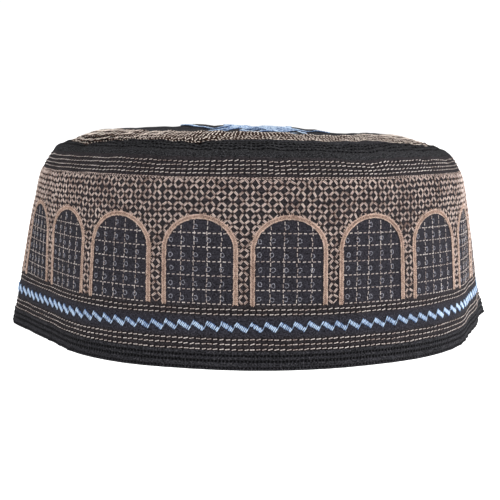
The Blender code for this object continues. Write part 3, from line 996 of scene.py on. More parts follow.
def twisted_thread_group():
    """Plies of a thread: how high they stand and how shaded they are, and how near its ends each place is."""
    name = "Twisted thread"
    if name in bpy.data.node_groups:
        return bpy.data.node_groups[name]
    inputs = [("Float", "Turn rate", 1.0), ("Float", "Slant", 0.9)]
    outputs = [("Float", key) for key in ("Height", "Groove", "End", "Side", "Waist", "Tone")]
    tree, ends, out = new_group(name, "ShaderNodeTree", inputs, outputs)
    along, across, tone, count = (
        node_of(tree, "ShaderNodeAttribute", attribute_name=key).outputs["Fac"]
        for key in ("along_thread", "across_thread", "thread_tone", "thread_turns")
    )
    turns = maths(tree, "MULTIPLY", along, maths(tree, "MULTIPLY", count, ends.outputs["Turn rate"]))
    lean = maths(tree, "MULTIPLY", across, ends.outputs["Slant"])
    phase = maths(tree, "MULTIPLY", maths(tree, "ADD", maths(tree, "ADD", turns, lean), tone), 2 * math.pi)
    wave = maths(tree, "MULTIPLY_ADD", maths(tree, "SINE", phase), 0.5, 0.5)
    groove = maths(tree, "POWER", maths(tree, "SUBTRACT", 1.0, wave), 1.7)
    centred = maths(tree, "ABSOLUTE", maths(tree, "MULTIPLY_ADD", along, 2.0, -1.0))
    side = maths(tree, "POWER", maths(tree, "ABSOLUTE", maths(tree, "MULTIPLY", across, 2.0)), 3.0)
    results = {"Height": wave, "Groove": groove, "Side": side, "Tone": tone}
    results["End"] = maths(tree, "POWER", centred, 10.0)
    results["Waist"] = maths(tree, "SUBTRACT", 1.0, maths(tree, "POWER", centred, 1.6))
    for key, value in results.items():
        tree.links.new(value, out.inputs[key])
    return tree


# The woven cloth: noise scales and details, how much each stands in and out, and how much it darkens
YARN_NOISE = (1.9, 1.0, 0.6)
LUMP_NOISE = (0.8, 1.0)
BROAD_NOISE = (0.07, 3.0)
WEAVE_RELIEF = 0.25
LUMP_RELIEF = 1.2
YARN_RELIEF = 1.6
YARN_DARKNESS = 6.0
LUMP_DARKNESS = 2.0
BROAD_DARKNESS = 0.9
DARKEST = 0.15
LINT_FROM = 0.64
LINT_GAIN = 9.0


def woven_cloth_group():
    """Plain weave on a map in millimetres: how high the yarns stand, how dark they are, and their lint."""
    name = "Woven cloth"
    if name in bpy.data.node_groups:
        return bpy.data.node_groups[name]
    inputs = [
        ("Vector", "Place", None),
        ("Vector", "Stretch", (1.0, 1.0, 1.0)),
        ("Float", "Yarn pitch", 0.45),
        ("Float", "Contrast", 1.0),
    ]
    outputs = [("Float", key) for key in ("Height", "Shade", "Lint")]
    tree, ends, out = new_group(name, "ShaderNodeTree", inputs, outputs)
    split = node_of(tree, "ShaderNodeSeparateXYZ", {0: ends.outputs["Place"]})
    rate = maths(tree, "DIVIDE", math.pi, ends.outputs["Yarn pitch"])
    warp = maths(tree, "SINE", maths(tree, "MULTIPLY", split.outputs["X"], rate))
    weft = maths(tree, "SINE", maths(tree, "MULTIPLY", split.outputs["Y"], rate))
    weave = maths(tree, "ABSOLUTE", maths(tree, "MULTIPLY", warp, weft))
    both = {0: ends.outputs["Place"], 1: ends.outputs["Stretch"]}
    place = node_of(tree, "ShaderNodeVectorMath", both, operation="MULTIPLY").outputs[0]
    yarn = noise(tree, place, *YARN_NOISE)
    lump = noise(tree, place, *LUMP_NOISE)
    broad = noise(tree, place, *BROAD_NOISE)
    height = maths(tree, "MULTIPLY_ADD", weave, WEAVE_RELIEF, maths(tree, "MULTIPLY", lump, LUMP_RELIEF))
    height = maths(tree, "MULTIPLY_ADD", yarn, YARN_RELIEF, height)
    dark = maths(tree, "MULTIPLY_ADD", yarn, YARN_DARKNESS, -YARN_DARKNESS / 2)
    dark = maths(tree, "MULTIPLY_ADD", maths(tree, "SUBTRACT", lump, 0.5), LUMP_DARKNESS, dark)
    dark = maths(tree, "MULTIPLY_ADD", maths(tree, "SUBTRACT", broad, 0.5), BROAD_DARKNESS, dark)
    shade = maths(tree, "MULTIPLY_ADD", dark, ends.outputs["Contrast"], 1.0)
    shade = maths(tree, "MAXIMUM", shade, DARKEST)
    specks = maths(tree, "MULTIPLY", maths(tree, "SUBTRACT", yarn, LINT_FROM), LINT_GAIN)
    lint = node_of(tree, "ShaderNodeClamp", {"Value": specks}).outputs[0]
    for key, value in (("Height", height), ("Shade", shade), ("Lint", lint)):
        tree.links.new(value, out.inputs[key])
    return tree


def stitch_row_group():
    """A row of holes and dents where quilting thread goes through, on a map in millimetres."""
    name = "Quilted row"
    if name in bpy.data.node_groups:
        return bpy.data.node_groups[name]
    inputs = [
        ("Vector", "Place", None),
        ("Float", "Row", 3.0),
        ("Float", "First hole", 0.0),
        ("Float", "Pitch", 2.0),
        ("Float", "Half width", 0.45),
    ]
    tree, ends, out = new_group(name, "ShaderNodeTree", inputs, [("Float", "Dent")])
    split = node_of(tree, "ShaderNodeSeparateXYZ", {0: ends.outputs["Place"]})
    stray = maths(tree, "SUBTRACT", noise(tree, ends.outputs["Place"], 0.35, 1.0), 0.5)
    row = maths(tree, "MULTIPLY_ADD", stray, 0.4, ends.outputs["Row"])
    from_row = maths(tree, "SUBTRACT", split.outputs["Y"], row)
    away = maths(tree, "DIVIDE", from_row, ends.outputs["Half width"])
    near = maths(tree, "EXPONENT", maths(tree, "MULTIPLY", maths(tree, "POWER", away, 4.0), -1.0))
    far = maths(tree, "SUBTRACT", split.outputs["X"], ends.outputs["First hole"])
    turn = maths(tree, "DIVIDE", maths(tree, "MULTIPLY", far, 2 * math.pi), ends.outputs["Pitch"])
    hole = maths(tree, "POWER", maths(tree, "MULTIPLY_ADD", maths(tree, "COSINE", turn), 0.5, 0.5), 1.3)
    # This mask sinks the cloth and also sets the painted shade in the holes and along the row
    dent_and_shade = maths(tree, "MULTIPLY", near, maths(tree, "MULTIPLY_ADD", hole, 0.78, 0.22))
    tree.links.new(dent_and_shade, out.inputs["Dent"])
    return tree


def mixed(tree, factor, first, second, blend="MIX"):
    """A colour between two others."""
    inputs = {0: factor, 6: first, 7: second}
    return node_of(tree, "ShaderNodeMix", inputs, data_type="RGBA", blend_type=blend).outputs[2]


def even_pitch(pitch):
    """The nearest pitch that goes into the way round a whole number of times."""
    return CLOTH_ROUND / round(CLOTH_ROUND / pitch)


def rgba(colour):
    return (*colour, 1.0)


def new_material(name, roughness, sheen, specular):
    """A material with its node tree and its shader, which has these plain values."""
    material = bpy.data.materials.new(name)
    material.use_nodes = True
    tree = material.node_tree
    shader = tree.nodes["Principled BSDF"]
    shader.inputs["Roughness"].default_value = roughness
    shader.inputs["Specular IOR Level"].default_value = specular
    shader.inputs["Sheen Weight"].default_value = sheen
    shader.inputs["Sheen Roughness"].default_value = SHEEN_ROUGHNESS
    return material, tree, shader


# The lit and shaded colours of a thread, as settings, and how strongly its shaded places show
ThreadLook = namedtuple("ThreadLook", "lit shade groove side waist patches roughness specular")
THREAD_LOOKS = {
    "tan_thread_twisted": ThreadLook("tan", "tan_shade", 0.8, 0.6, 0.0, 1.3, 0.6, 0.2),
    "pale_thread_twisted": ThreadLook("pale", "tan_shade", 0.15, 0.45, 0.55, 0.7, 0.6, 0.2),
    "pale_ring_thread": ThreadLook("ring", "tan_shade", 0.3, 0.5, 0.0, 1.0, 0.6, 0.2),
    "tan_border_satin": ThreadLook("satin", "tan_shade", 0.55, 0.6, 0.0, 1.1, 0.6, 0.2),
    "tan_border_core": ThreadLook("core", "tan_shade", 0.6, 0.5, 0.0, 1.0, 0.7, 0.1),
    "light_blue_thread_satin": ThreadLook("blue", "blue_shade", 0.4, 0.5, 0.0, 0.9, 0.5, 0.3),
    "grey_eyelet_thread": ThreadLook("grey", "grey_shade", 0.7, 0.5, 0.0, 0.9, 0.6, 0.2),
    "black_quilting_thread": ThreadLook("black", "black_shade", 0.3, 0.3, 0.0, 0.6, 0.8, 0.05),
}
THREAD_SHEEN = 0.06
SHEEN_ROUGHNESS = 0.5
END_SHADE = 0.9
FIBRE_NOISE = (2600.0, 2.0)
FIBRE_RELIEF = 0.7
FADE_NOISE = (90.0, 4.0, 0.7)
THREAD_BUMP = {"Strength": 0.6, "Distance": 0.00012}
CLOTH_ROUGHNESS = 0.9
CLOTH_SHEEN = 0.02
CLOTH_SPECULAR = 0.05
CLOTH_BUMP_STRENGTH = 0.7
DENT_DEPTH = 2.5


def thread_material(name):
    """Twisted embroidery thread, brighter along its top and darker between plies and where it dives in."""
    if name in bpy.data.materials:
        return bpy.data.materials[name]
    look, colours = THREAD_LOOKS[name], settings().thread
    material, tree, shader = new_material(name, look.roughness, THREAD_SHEEN, look.specular)
    twist = node_of(tree, "ShaderNodeGroup", node_tree=twisted_thread_group()).outputs
    place = tree.nodes.new("ShaderNodeTexCoord").outputs["Object"]
    fibre = noise(tree, place, *FIBRE_NOISE)
    faded = noise(tree, place, *FADE_NOISE)
    total = maths(tree, "MULTIPLY", twist["Groove"], look.groove)
    total = maths(tree, "MULTIPLY_ADD", twist["End"], END_SHADE, total)
    total = maths(tree, "MULTIPLY_ADD", twist["Side"], look.side, total)
    total = maths(tree, "MULTIPLY_ADD", twist["Waist"], look.waist, total)
    total = maths(tree, "MULTIPLY_ADD", maths(tree, "SUBTRACT", twist["Tone"], 0.5), look.patches / 2, total)
    total = maths(tree, "MULTIPLY_ADD", maths(tree, "SUBTRACT", faded, 0.5), look.patches, total)
    shaded = node_of(tree, "ShaderNodeClamp", {"Value": total}).outputs[0]
    lit, shade = rgba(getattr(colours, look.lit)), rgba(getattr(colours, look.shade))
    tree.links.new(mixed(tree, shaded, lit, shade), shader.inputs["Base Color"])
    height = maths(tree, "MULTIPLY_ADD", fibre, FIBRE_RELIEF, twist["Height"])
    bump = node_of(tree, "ShaderNodeBump", {**THREAD_BUMP, "Height": height})
    tree.links.new(bump.outputs[0], shader.inputs["Normal"])
    return material


# A cloth's colour, the second colour that its mask brings in, its quilted rows, and its weave
ClothLook = namedtuple("ClothLook", "colour second mask quilting lint relief contrast stretch")


def cloth_material(name, look):
    """Black cotton: woven, uneven and dusted with lint, with dents along its quilted rows and painted shade
    in them.
    """
    if name in bpy.data.materials:
        return bpy.data.materials[name]
    cloth = settings().cloth
    material, tree, shader = new_material(name, CLOTH_ROUGHNESS, CLOTH_SHEEN, CLOTH_SPECULAR)
    place = node_of(tree, "ShaderNodeUVMap", uv_map="cloth_mm").outputs[0]
    values = {"Place": place, "Stretch": look.stretch, "Contrast": look.contrast}
    values["Yarn pitch"] = cloth.weave_pitch / MM
    woven = node_of(tree, "ShaderNodeGroup", values, node_tree=woven_cloth_group()).outputs
    base = rgba(look.colour)
    if look.mask:
        amount = node_of(tree, "ShaderNodeAttribute", attribute_name=look.mask).outputs["Fac"]
        base = mixed(tree, amount, base, rgba(look.second))
    grey = node_of(tree, "ShaderNodeCombineXYZ", {axis: woven["Shade"] for axis in range(3)}).outputs[0]
    colour = mixed(tree, 1.0, base, grey, "MULTIPLY")
    colour = mixed(tree, maths(tree, "MULTIPLY", woven["Lint"], look.lint), colour, rgba(cloth.lint))
    height = woven["Height"]
    for row in look.quilting:
        pitch = even_pitch(row.pitch)
        values = {"Place": place, "Row": row.height, "Pitch": pitch, "Half width": row.half_width}
        values["First hole"] = ROUND_START + pitch / 2
        dent_and_shade = node_of(tree, "ShaderNodeGroup", values, node_tree=stitch_row_group()).outputs["Dent"]
        # Painted shade: each row's holes and dents are darkened towards the needle-hole colour
        colour = mixed(tree, maths(tree, "MULTIPLY", dent_and_shade, row.depth), colour, rgba(cloth.hole))
        height = maths(tree, "MULTIPLY_ADD", dent_and_shade, -DENT_DEPTH * row.depth, height)
    tree.links.new(colour, shader.inputs["Base Color"])
    bumped = {"Strength": CLOTH_BUMP_STRENGTH, "Distance": look.relief, "Height": height}
    bump = node_of(tree, "ShaderNodeBump", bumped)
    tree.links.new(bump.outputs[0], shader.inputs["Normal"])
    return material


# The pattern on the wall


def arch_outline(inset, number=160):
    """Places along an arch's line, up one side, over and down: round from its middle, and height."""
    half = ARCH_HALF_FOOT - inset
    rise = ARCH_TOP_HEIGHT - ARCH_SPRING_HEIGHT - inset
    angle = np.linspace(0, math.pi, number)
    over = np.stack([half * np.cos(angle), ARCH_SPRING_HEIGHT + rise * np.sin(angle)], axis=1)
    leg = np.linspace(ARCH_BASE_HEIGHT - 0.2, ARCH_SPRING_HEIGHT, 40)[:-1]
    up = np.stack([np.full(len(leg), half), leg], axis=1)
    down = np.stack([np.full(len(leg), -half), leg[::-1]], axis=1)
    return np.concatenate([up, over, down])


def inside_arch(distance, height, inset):
    """Whether these places, as round from any arch's middle, are inside the arch's line."""
    from_middle = (np.asarray(distance, float) + ARCH_PITCH / 2) % ARCH_PITCH - ARCH_PITCH / 2
    height = np.asarray(height, float)
    half = ARCH_HALF_FOOT - inset
    rise = ARCH_TOP_HEIGHT - ARCH_SPRING_HEIGHT - inset
    above = np.maximum(height - ARCH_SPRING_HEIGHT, 0.0) / rise
    reach = half * np.sqrt(np.clip(1 - above**2, 0, 1))
    return (np.abs(from_middle) < reach) & (height > ARCH_BASE_HEIGHT - 0.3) & (above < 1)


def arch_middles():
    """The round of every arch's middle."""
    return np.arange(ARCH_COUNT) * ARCH_PITCH


def wall_places(distance, height):
    """Heading and run of places given by round and height."""
    return heading_of(distance), run_at_height(height)


def slanted(distance, height, length, degrees):
    """The two ends, as (heading, run), of wall stitches about a middle."""
    half = np.asarray(length) / 2
    across, up = half * np.cos(np.radians(degrees)), half * np.sin(np.radians(degrees))
    return wall_places(distance - across, height - up), wall_places(distance + across, height + up)


def row_distances(pitch, seed):
    """Middles of the stitches in a row right round the cap, slightly uneven."""
    number = int(round(CLOTH_ROUND / pitch))
    dice = np.random.default_rng(seed)
    return (np.arange(number) + dice.uniform(-ROW_HAND.stray, ROW_HAND.stray, number)) * CLOTH_ROUND / number


def row_wander(distance, seed, size=0.1):
    """How far a row strays up or down along its way, in millimetres."""
    angle = np.asarray(distance) / CLOTH_ROUND * 360.0
    return waves(angle, 0.0, Waves(seed, (4, 40), (0.0, 0.01), size, 7))


def running_row(row, seed, height_share=0.85):
    """A row of slanted running stitches right round the wall."""
    distance = row_distances(row.pitch, seed)
    dice = np.random.default_rng(seed + 500)
    height = row.height + row_wander(distance, seed)
    slant = row.slant + dice.normal(0, ROW_HAND.sway, len(distance))
    first, second = slanted(distance, height, row.length, slant)
    return stitches(first, second, row.width, row.width * height_share, 0.06)


def shoulder_row(row, seed):
    """A row of quilting stitches on the shoulder; the row's height is its run up the cloth."""
    distance = row_distances(row.pitch, seed)
    run = row.height + row_wander(distance, seed)
    half = row.pitch * 0.2
    lean = np.random.default_rng(seed).normal(0.04, 0.08, len(distance))
    first = (heading_of(distance - half), run - lean)
    second = (heading_of(distance + half), run + lean)
    return stitches(first, second, *SHOULDER_STITCH)


def grid_stitches(middle, seed):
    """The crossing rows of running stitch in one arch."""
    dice = np.random.default_rng(seed)
    sets = []
    reach = ARCH_HALF_FOOT - 0.4
    for height in (ARCH_BASE_HEIGHT, *GRID_HEIGHTS):
        places = np.arange(-reach, reach, GRID_PITCH) + dice.uniform(0, 0.6)
        tested = np.full(len(places), max(height, ARCH_BASE_HEIGHT + 0.4))
        places = places[inside_arch(places, tested, ARCH_BORDER_WIDTH - 0.2)]
        level = height + dice.normal(0, GRID_ROW_HAND.stray) - GRID_ROW_FALL * places
        slant = GRID_ROW_SLANT + dice.normal(0, GRID_ROW_HAND.sway, len(places))
        first, second = slanted(middle + places, level, GRID_ROW_LENGTH, slant)
        sets.append(stitches(first, second, *GRID_ROW_STITCH))
    for place in GRID_PLACES:
        heights = np.arange(ARCH_BASE_HEIGHT + 0.8, ARCH_TOP_HEIGHT, GRID_PITCH) + dice.uniform(0, 0.5)
        heights = heights[inside_arch(np.full(len(heights), place), heights, ARCH_BORDER_WIDTH + 0.2)]
        across = place + dice.normal(0, GRID_COLUMN_HAND.stray)
        across = across + dice.normal(0, GRID_COLUMN_HAND.stray, len(heights))
        across = across + GRID_COLUMN_LEAN * (heights - GRID_MIDDLE_HEIGHT)
        slant = 90 + dice.normal(0, GRID_COLUMN_HAND.sway, len(heights))
        first, second = slanted(middle + across, heights, GRID_COLUMN_LENGTH, slant)
        sets.append(stitches(first, second, *GRID_COLUMN_STITCH))
    return joined(*sets)


def ring_strokes():
    """The four double strokes of each closed lattice ring, left out where an arch covers them."""
    dice = np.random.default_rng(31)
    pitch = ARCH_PITCH / RINGS_PER_ARCH
    columns = np.arange(ARCH_COUNT * RINGS_PER_ARCH) * pitch
    rows = RING_FIRST_HEIGHT + np.arange(RING_ROWS) * RING_ROW_PITCH
    across, up = np.meshgrid(columns, rows, indexing="ij")
    bend = LATTICE_BEND * np.sin(up * 0.21 + across * 0.02)
    across = across + dice.normal(0, LATTICE_HAND.stray, across.shape) + bend
    up = up + dice.normal(0, LATTICE_HAND.stray, up.shape) + row_wander(across, 77, LATTICE_WANDER)
    sets = []
    for side, rise in ((1, 1), (-1, 1), (-1, -1), (1, -1)):
        stray = dice.normal(0, STROKE_STRAY, (2, *across.shape))
        turn = dice.normal(0, LATTICE_HAND.sway, across.shape)
        for reach, length in RING_STROKES:
            middle_x = (across + side * reach + stray[0]).ravel()
            middle_z = (up + rise * reach + stray[1]).ravel()
            in_band = (middle_z < LATTICE_TOP) & (middle_z > LATTICE_BOTTOM)
            keep = ~inside_arch(middle_x, middle_z, -0.15) & in_band
            slant = -side * rise * 45 + turn.ravel()[keep]
            first, second = slanted(middle_x[keep], middle_z[keep], length, slant)
            sets.append(stitches(first, second, *LATTICE_STROKE))
    return joined(*sets)


def along_line(line, spacing, start, ahead):
    """Places spaced along a line of points, and the line's course there over this far each way."""
    steps = np.linalg.norm(np.diff(line, axis=0), axis=1)
    along = np.concatenate([[0.0], np.cumsum(steps)])
    at = np.arange(start, along[-1], spacing)
    reach = [at, np.minimum(at + ahead, along[-1]), np.maximum(at - ahead, 0)]
    points = [np.stack([np.interp(x, along, line[:, k]) for k in (0, 1)], axis=1) for x in reach]
    course = points[1] - points[2]
    return points[0], np.arctan2(course[:, 1], course[:, 0])


def border_strand(strand):
    """Overlapping oblique stitches along an arch's line, for every arch."""
    place, course = along_line(arch_outline(strand.inset), strand.spacing, strand.spacing / 2, COURSE_REACH)
    x, z = place.T
    course = np.degrees(course)
    dice = np.random.default_rng(strand.seed)
    sets = []
    for middle in arch_middles():
        wobble = dice.normal(0, BORDER_HAND.stray, len(x))
        reach = strand.length * (1 + dice.normal(0, BORDER_LENGTH_SPREAD, len(x)))
        slant = course + strand.slant + dice.normal(0, BORDER_HAND.sway, len(x))
        first, second = slanted(middle + x + wobble, z, reach, slant)
        sets.append(stitches(first, second, strand.width, strand.width * 1.1, BORDER_LIFT))
    return joined(*sets)


def border_tufts():
    """Short ends of the understitching that stick out like a comb over the top of each arch."""
    dice = np.random.default_rng(91)
    line = arch_outline(-0.15)
    sets = []
    for middle in arch_middles():
        last = len(line) - 1 - TUFT_FREE_POINTS
        x, z = line[np.sort(dice.integers(TUFT_FREE_POINTS, last, TUFTS_PER_ARCH))].T
        outward = np.degrees(np.arctan2(np.maximum(z - ARCH_SPRING_HEIGHT, 0), x))
        outward = outward + dice.normal(0, TUFT_SWAY, TUFTS_PER_ARCH)
        first, second = slanted(middle + x, z, dice.uniform(*TUFT_LENGTHS, TUFTS_PER_ARCH), outward)
        sets.append(stitches(first, second, *TUFT_STITCH))
    return joined(*sets)


def has_eyelet(row, column):
    """Whether an arch has room for this eyelet: its top rows hold fewer."""
    if row == 5 and column != 2 or row == 4 and column == 4:
        return False
    return inside_arch(EYELET_PLACES[column], EYELET_HEIGHTS[row], EYELET_ROOM)


def eyelet(x, z, column, dice):
    """A small loose ring of short strokes, fuller in an arch's first column."""
    number = 6 if column == 0 or dice.random() < FULL_EYELET_SHARE else 5
    angle = (np.arange(number) + dice.uniform(-0.2, 0.2, number)) * 60.0 - 120.0
    angle = angle + dice.uniform(-15, 15)
    radius = dice.normal(EYELET_RADIUS, EYELET_RADIUS_SPREAD, number)
    x = x + dice.normal(0, EYELET_HAND.stray) + radius * EYELET_NARROWING * np.cos(np.radians(angle))
    z = z + dice.normal(0, EYELET_HAND.stray) + radius * np.sin(np.radians(angle))
    length = dice.uniform(*EYELET_LENGTHS, number)
    first, second = slanted(x, z, length, angle + 90 + dice.normal(0, EYELET_HAND.sway, number))
    return stitches(first, second, *EYELET_STITCHES[min(column, 1)])


def eyelet_strokes():
    """The eyelets of every arch."""
    dice = np.random.default_rng(41)
    sets = []
    for middle in arch_middles():
        for row, height in enumerate(EYELET_HEIGHTS):
            for column, place in enumerate(EYELET_PLACES):
                if has_eyelet(row, column):
                    sets.append(eyelet(middle + place, height, column, dice))
    return joined(*sets)


def zigzag_stitches():
    """The light-blue satin blocks, each a row of short slanted threads, and the links between them."""
    dice = np.random.default_rng(53)
    start = np.arange(BLOCK_COUNT) * (CLOTH_ROUND / BLOCK_COUNT)
    start = start + dice.normal(0, BLOCK_HAND.stray, BLOCK_COUNT)
    rise = row_wander(start, 54, BLOCK_WANDER)
    sets = []
    for thread in range(BLOCK_THREADS):
        share = thread / (BLOCK_THREADS - 1)
        across = BLOCK_START[0] + (BLOCK_END[0] - BLOCK_START[0]) * share
        up = BLOCK_START[1] + (BLOCK_END[1] - BLOCK_START[1]) * share
        length = BLOCK_THREAD_LENGTH * (1 + dice.normal(0, BLOCK_LENGTH_SPREAD, BLOCK_COUNT))
        slant = BLOCK_THREAD_SLANT + dice.normal(0, BLOCK_HAND.sway, BLOCK_COUNT)
        across = start + across + dice.normal(0, BLOCK_HAND.stray, BLOCK_COUNT)
        first, second = slanted(across, up + rise, length, slant)
        sets.append(stitches(first, second, *BLOCK_STITCH))
    first = wall_places(start + LINK_START[0], LINK_START[1] + rise)
    second = wall_places(start + LINK_END[0], LINK_END[1] + rise)
    sets.append(stitches(first, second, *LINK_STITCH))
    return joined(*sets)


# The pattern on the crown


def ring_radius(heading, share):
    """The stitched ring's radius here, from its inner edge (share 0) to its outer edge (share 1)."""
    inner, outer, _ = ring_edges(heading)
    return inner + (outer - inner) * share


def spoke_row(row):
    """Stitches across the ring, each leaning the other way from the last."""
    dice = np.random.default_rng(row.seed)
    order = np.arange(RING_ARMS)
    stray = dice.uniform(-RING_HEADING_STRAY, RING_HEADING_STRAY, RING_ARMS)
    heading = (order + stray) * 360.0 / RING_ARMS - 180.0
    tilt = row.lean * np.where(order % 2, 1, -1) + dice.normal(0, RING_TILT_STRAY, RING_ARMS)
    inner = ring_radius(heading, row.low + dice.normal(0, RING_SHARE_STRAY, RING_ARMS))
    outer = ring_radius(heading, row.high + dice.normal(0, RING_SHARE_STRAY, RING_ARMS))
    first = (heading - tilt, run_at_radius(inner))
    second = (heading + tilt, run_at_radius(outer))
    return stitches(first, second, row.width, row.width * RING_FLATNESS, RING_LIFT)


def circle_row(row):
    """A line of slanted stitches round the ring; slant is a share of the ring's width."""
    number = int(round(2 * math.pi * RING_MEAN_RADIUS / row.pitch))
    dice = np.random.default_rng(row.seed)
    stray = dice.uniform(-CIRCLE_HEADING_STRAY, CIRCLE_HEADING_STRAY, number)
    heading = (np.arange(number) + stray) * 360.0 / number - 180.0
    half = math.degrees(row.length / 2 / RING_MEAN_RADIUS)
    middle = row.share + dice.normal(0, CIRCLE_SHARE_STRAY, number)
    first = (heading - half, run_at_radius(ring_radius(heading - half, middle - row.slant / 2)))
    second = (heading + half, run_at_radius(ring_radius(heading + half, middle + row.slant / 2)))
    return stitches(first, second, row.width, row.width * RING_FLATNESS, RING_LIFT)


def ring_stitches():
    """The broad tan ring of the crown: long arms, short zigzags outside them, and edge lines."""
    return joined(*(spoke_row(row) for row in RING_SPOKES), *(circle_row(row) for row in RING_CIRCLES))


def petal_line(reach, inset, number=60):
    """Places along a pointed petal's line: out from the middle and sideways."""
    share = np.linspace(0, 1, number)
    inner = PETAL_INNER_RADIUS + inset * 1.8
    outer = reach - inset * 1.8
    side = (PETAL_HALF_WIDTH - inset) * np.sin(math.pi * share)
    out = inner + (outer - inner) * share
    return np.concatenate([np.stack([out, side], 1), np.stack([out, -side], 1)[::-1]])


def crown_stitches(first, second, width, height, lift):
    """Stitches between two sets of crown points, as towards +X and to the front."""
    return stitches(crown_place(*first.T), crown_place(*second.T), width, height, lift)


def turned(points, degrees):
    """(out, side) points turned to a heading, as (towards +X, to the front)."""
    angle = math.radians(degrees)
    across = points[:, 0] * math.sin(angle) + points[:, 1] * math.cos(angle)
    forward = points[:, 0] * math.cos(angle) - points[:, 1] * math.sin(angle)
    return np.stack([across, forward], axis=1)


def satin_line(points, heading, satin, seed=1):
    """Short stitches across a line of (out, side) points, leaning along it."""
    dice = np.random.default_rng(seed)
    place, course = along_line(points, satin.spacing, 0, SATIN_COURSE_REACH)
    course = course + math.radians(satin.lean)
    course = course + dice.normal(0, SATIN_COURSE_STRAY, len(place))
    reach = (satin.length * (1 + dice.normal(0, SATIN_LENGTH_SPREAD, len(place))))[:, None]
    half = np.stack([np.cos(course), np.sin(course)], axis=1) * reach / 2
    first, second = turned(place - half, heading), turned(place + half, heading)
    return crown_stitches(first, second, satin.width, satin.width, satin.lift)


def petal_fill(reach, filled, heading, seed):
    """Satin rows that fill a petal's inner end, lengthwise, up to where it opens."""
    dice = np.random.default_rng(seed)
    limit = PETAL_INNER_RADIUS + (reach - PETAL_INNER_RADIUS) * filled
    half = np.array([FILL_HALF_STITCH, 0.0])
    sets = []
    for side in FILL_ROW_SIDES:
        out = np.arange(4.0 + dice.uniform(0, 0.8), limit - abs(side) * 0.5, FILL_STITCH_PITCH)
        narrow = np.clip(out / 11.0, 0.25, 1.0)
        centre = np.stack([out, side * narrow], axis=1)
        ends = (turned(centre - half, heading), turned(centre + half, heading))
        sets.append(crown_stitches(*ends, 0.58, 0.5, 0.05 + 0.15 * dice.random(len(out))))
    return joined(*sets)


def rosette_stitches():
    """The light-blue rosette: satin petals filled near the middle, veins between them and a stitched eye."""
    vein = np.stack([np.linspace(4.0, 15.5, 30), 0.4 * np.sin(np.linspace(0, 6, 30))], axis=1)
    sets = []
    for number, filled in enumerate(PETAL_FILLED_SHARES):
        heading = number * 360.0 / PETAL_COUNT
        reach = petal_reach(number)
        sets.append(satin_line(petal_line(reach, PETAL_OUTLINE_INSET), heading, PETAL_SATIN, 20 + number))
        sets.append(petal_fill(reach, filled, heading, 30 + number))
        between = heading + 180.0 / PETAL_COUNT
        for side in VEIN_SIDES:
            sets.append(satin_line(vein + (0.0, side), between, VEIN_SATIN, 40 + number))
    for radius in EYE_RADII:
        angle = np.linspace(0, 2 * math.pi, 60)
        circle = np.stack([radius * np.cos(angle), radius * np.sin(angle)], axis=1)
        sets.append(satin_line(circle, 0.0, EYE_SATIN))
    return joined(*sets)


# Cloth pieces


def heading_grid(number):
    """Headings spaced evenly along the cloth, which puts more of them round the soft corners."""
    lengths = np.arange(number) * CLOTH_ROUND / number
    return np.interp(lengths, ROUND_LENGTHS, ROUND_HEADINGS)


def turned_cloth(name, headings, runs, lifts, material):
    """A closed band of cloth from its section's runs and lifts, one row of lifts for each heading."""
    points = cloth_point(headings[:, None], runs[None, :], lifts)
    piece = new_piece(name, points.reshape(-1, 3), ring_faces(len(headings), len(runs)), material)
    every_heading, every_run = np.repeat(headings, len(runs)), np.tile(runs, len(headings))
    map_cloth(piece, round_of(every_heading), every_run, CLOTH_ROUND)
    return piece, every_heading, every_run


def band_section(low, high, rows, lift, thickness):
    """Runs and lifts of a band's section, up outside and down inside, and the slice that is outside."""
    runs = np.concatenate([np.linspace(low, high, rows[0]), np.linspace(high, low, rows[1])])
    lifts = np.concatenate([np.full(rows[0], float(lift)), np.full(rows[1], -thickness)])
    return runs, np.tile(lifts, (BAND_HEADINGS, 1)), slice(rows[0])


def quilt_relief(run, rows, low, high):
    """Padding between quilted rows: 1 in the middle between two rows and 0 on a row."""
    edges = np.array([low, *rows, high])
    run = np.clip(np.asarray(run, float), low, high)
    i = np.clip(np.searchsorted(edges, run, side="right") - 1, 0, len(edges) - 2)
    share = (run - edges[i]) / (edges[i + 1] - edges[i])
    return np.sin(math.pi * np.clip(share, 0, 1)) ** 0.6


def hem_section():
    """Runs and outward lifts of the hem's section: up outside, down inside and back underneath."""
    top = run_at_height(HEM_TOP) + 0.35
    outside = np.linspace(0.25, top, HEM_ROWS[0])
    inside = np.linspace(top, 0.35, HEM_ROWS[1])
    runs = np.concatenate([[0.0, 0.02], outside, inside, [0.08, 0.0]])
    inner = np.full(len(inside), -HEM_THICKNESS)
    inner[0] = -WALL_THICKNESS
    base = np.concatenate([[-0.45, -0.12], np.full(len(outside), -0.10), inner, [-2.7, -2.25]])
    return runs, base, slice(2, 2 + len(outside))


def build_hem():
    cloth = settings().cloth
    headings = heading_grid(BAND_HEADINGS)
    runs, base, outside = hem_section()
    lifts = np.tile(base, (len(headings), 1))
    quilting = [row._replace(height=run_at_height(row.height)) for row in HEM_QUILTING]
    heads, out = headings[:, None], runs[outside]
    padding = quilt_relief(out, [row.height for row in quilting], 0.0, run_at_height(HEM_TOP) + 0.35)
    pucker = 1 + waves(heads, out[None, :], HEM_PUCKERS)
    lifts[:, outside] += padding[None, :] * pucker * cloth.quilt_depth / MM
    lifts[:, outside] += waves(heads, 0.0, HEM_EDGE_WAVES) * (1 - soft_step(0.0, 3.0, out))[None, :]
    look = ClothLook(cloth.black, None, "", quilting, 0.42, 0.00030, 0.75, (1.0, 0.9, 1.0))
    material = cloth_material("black_quilted_hem", look)
    piece, _, _ = turned_cloth("hem_cloth", headings, runs, lifts, material)
    finish_piece(piece, "quilted_black_cloth", "hem_band")


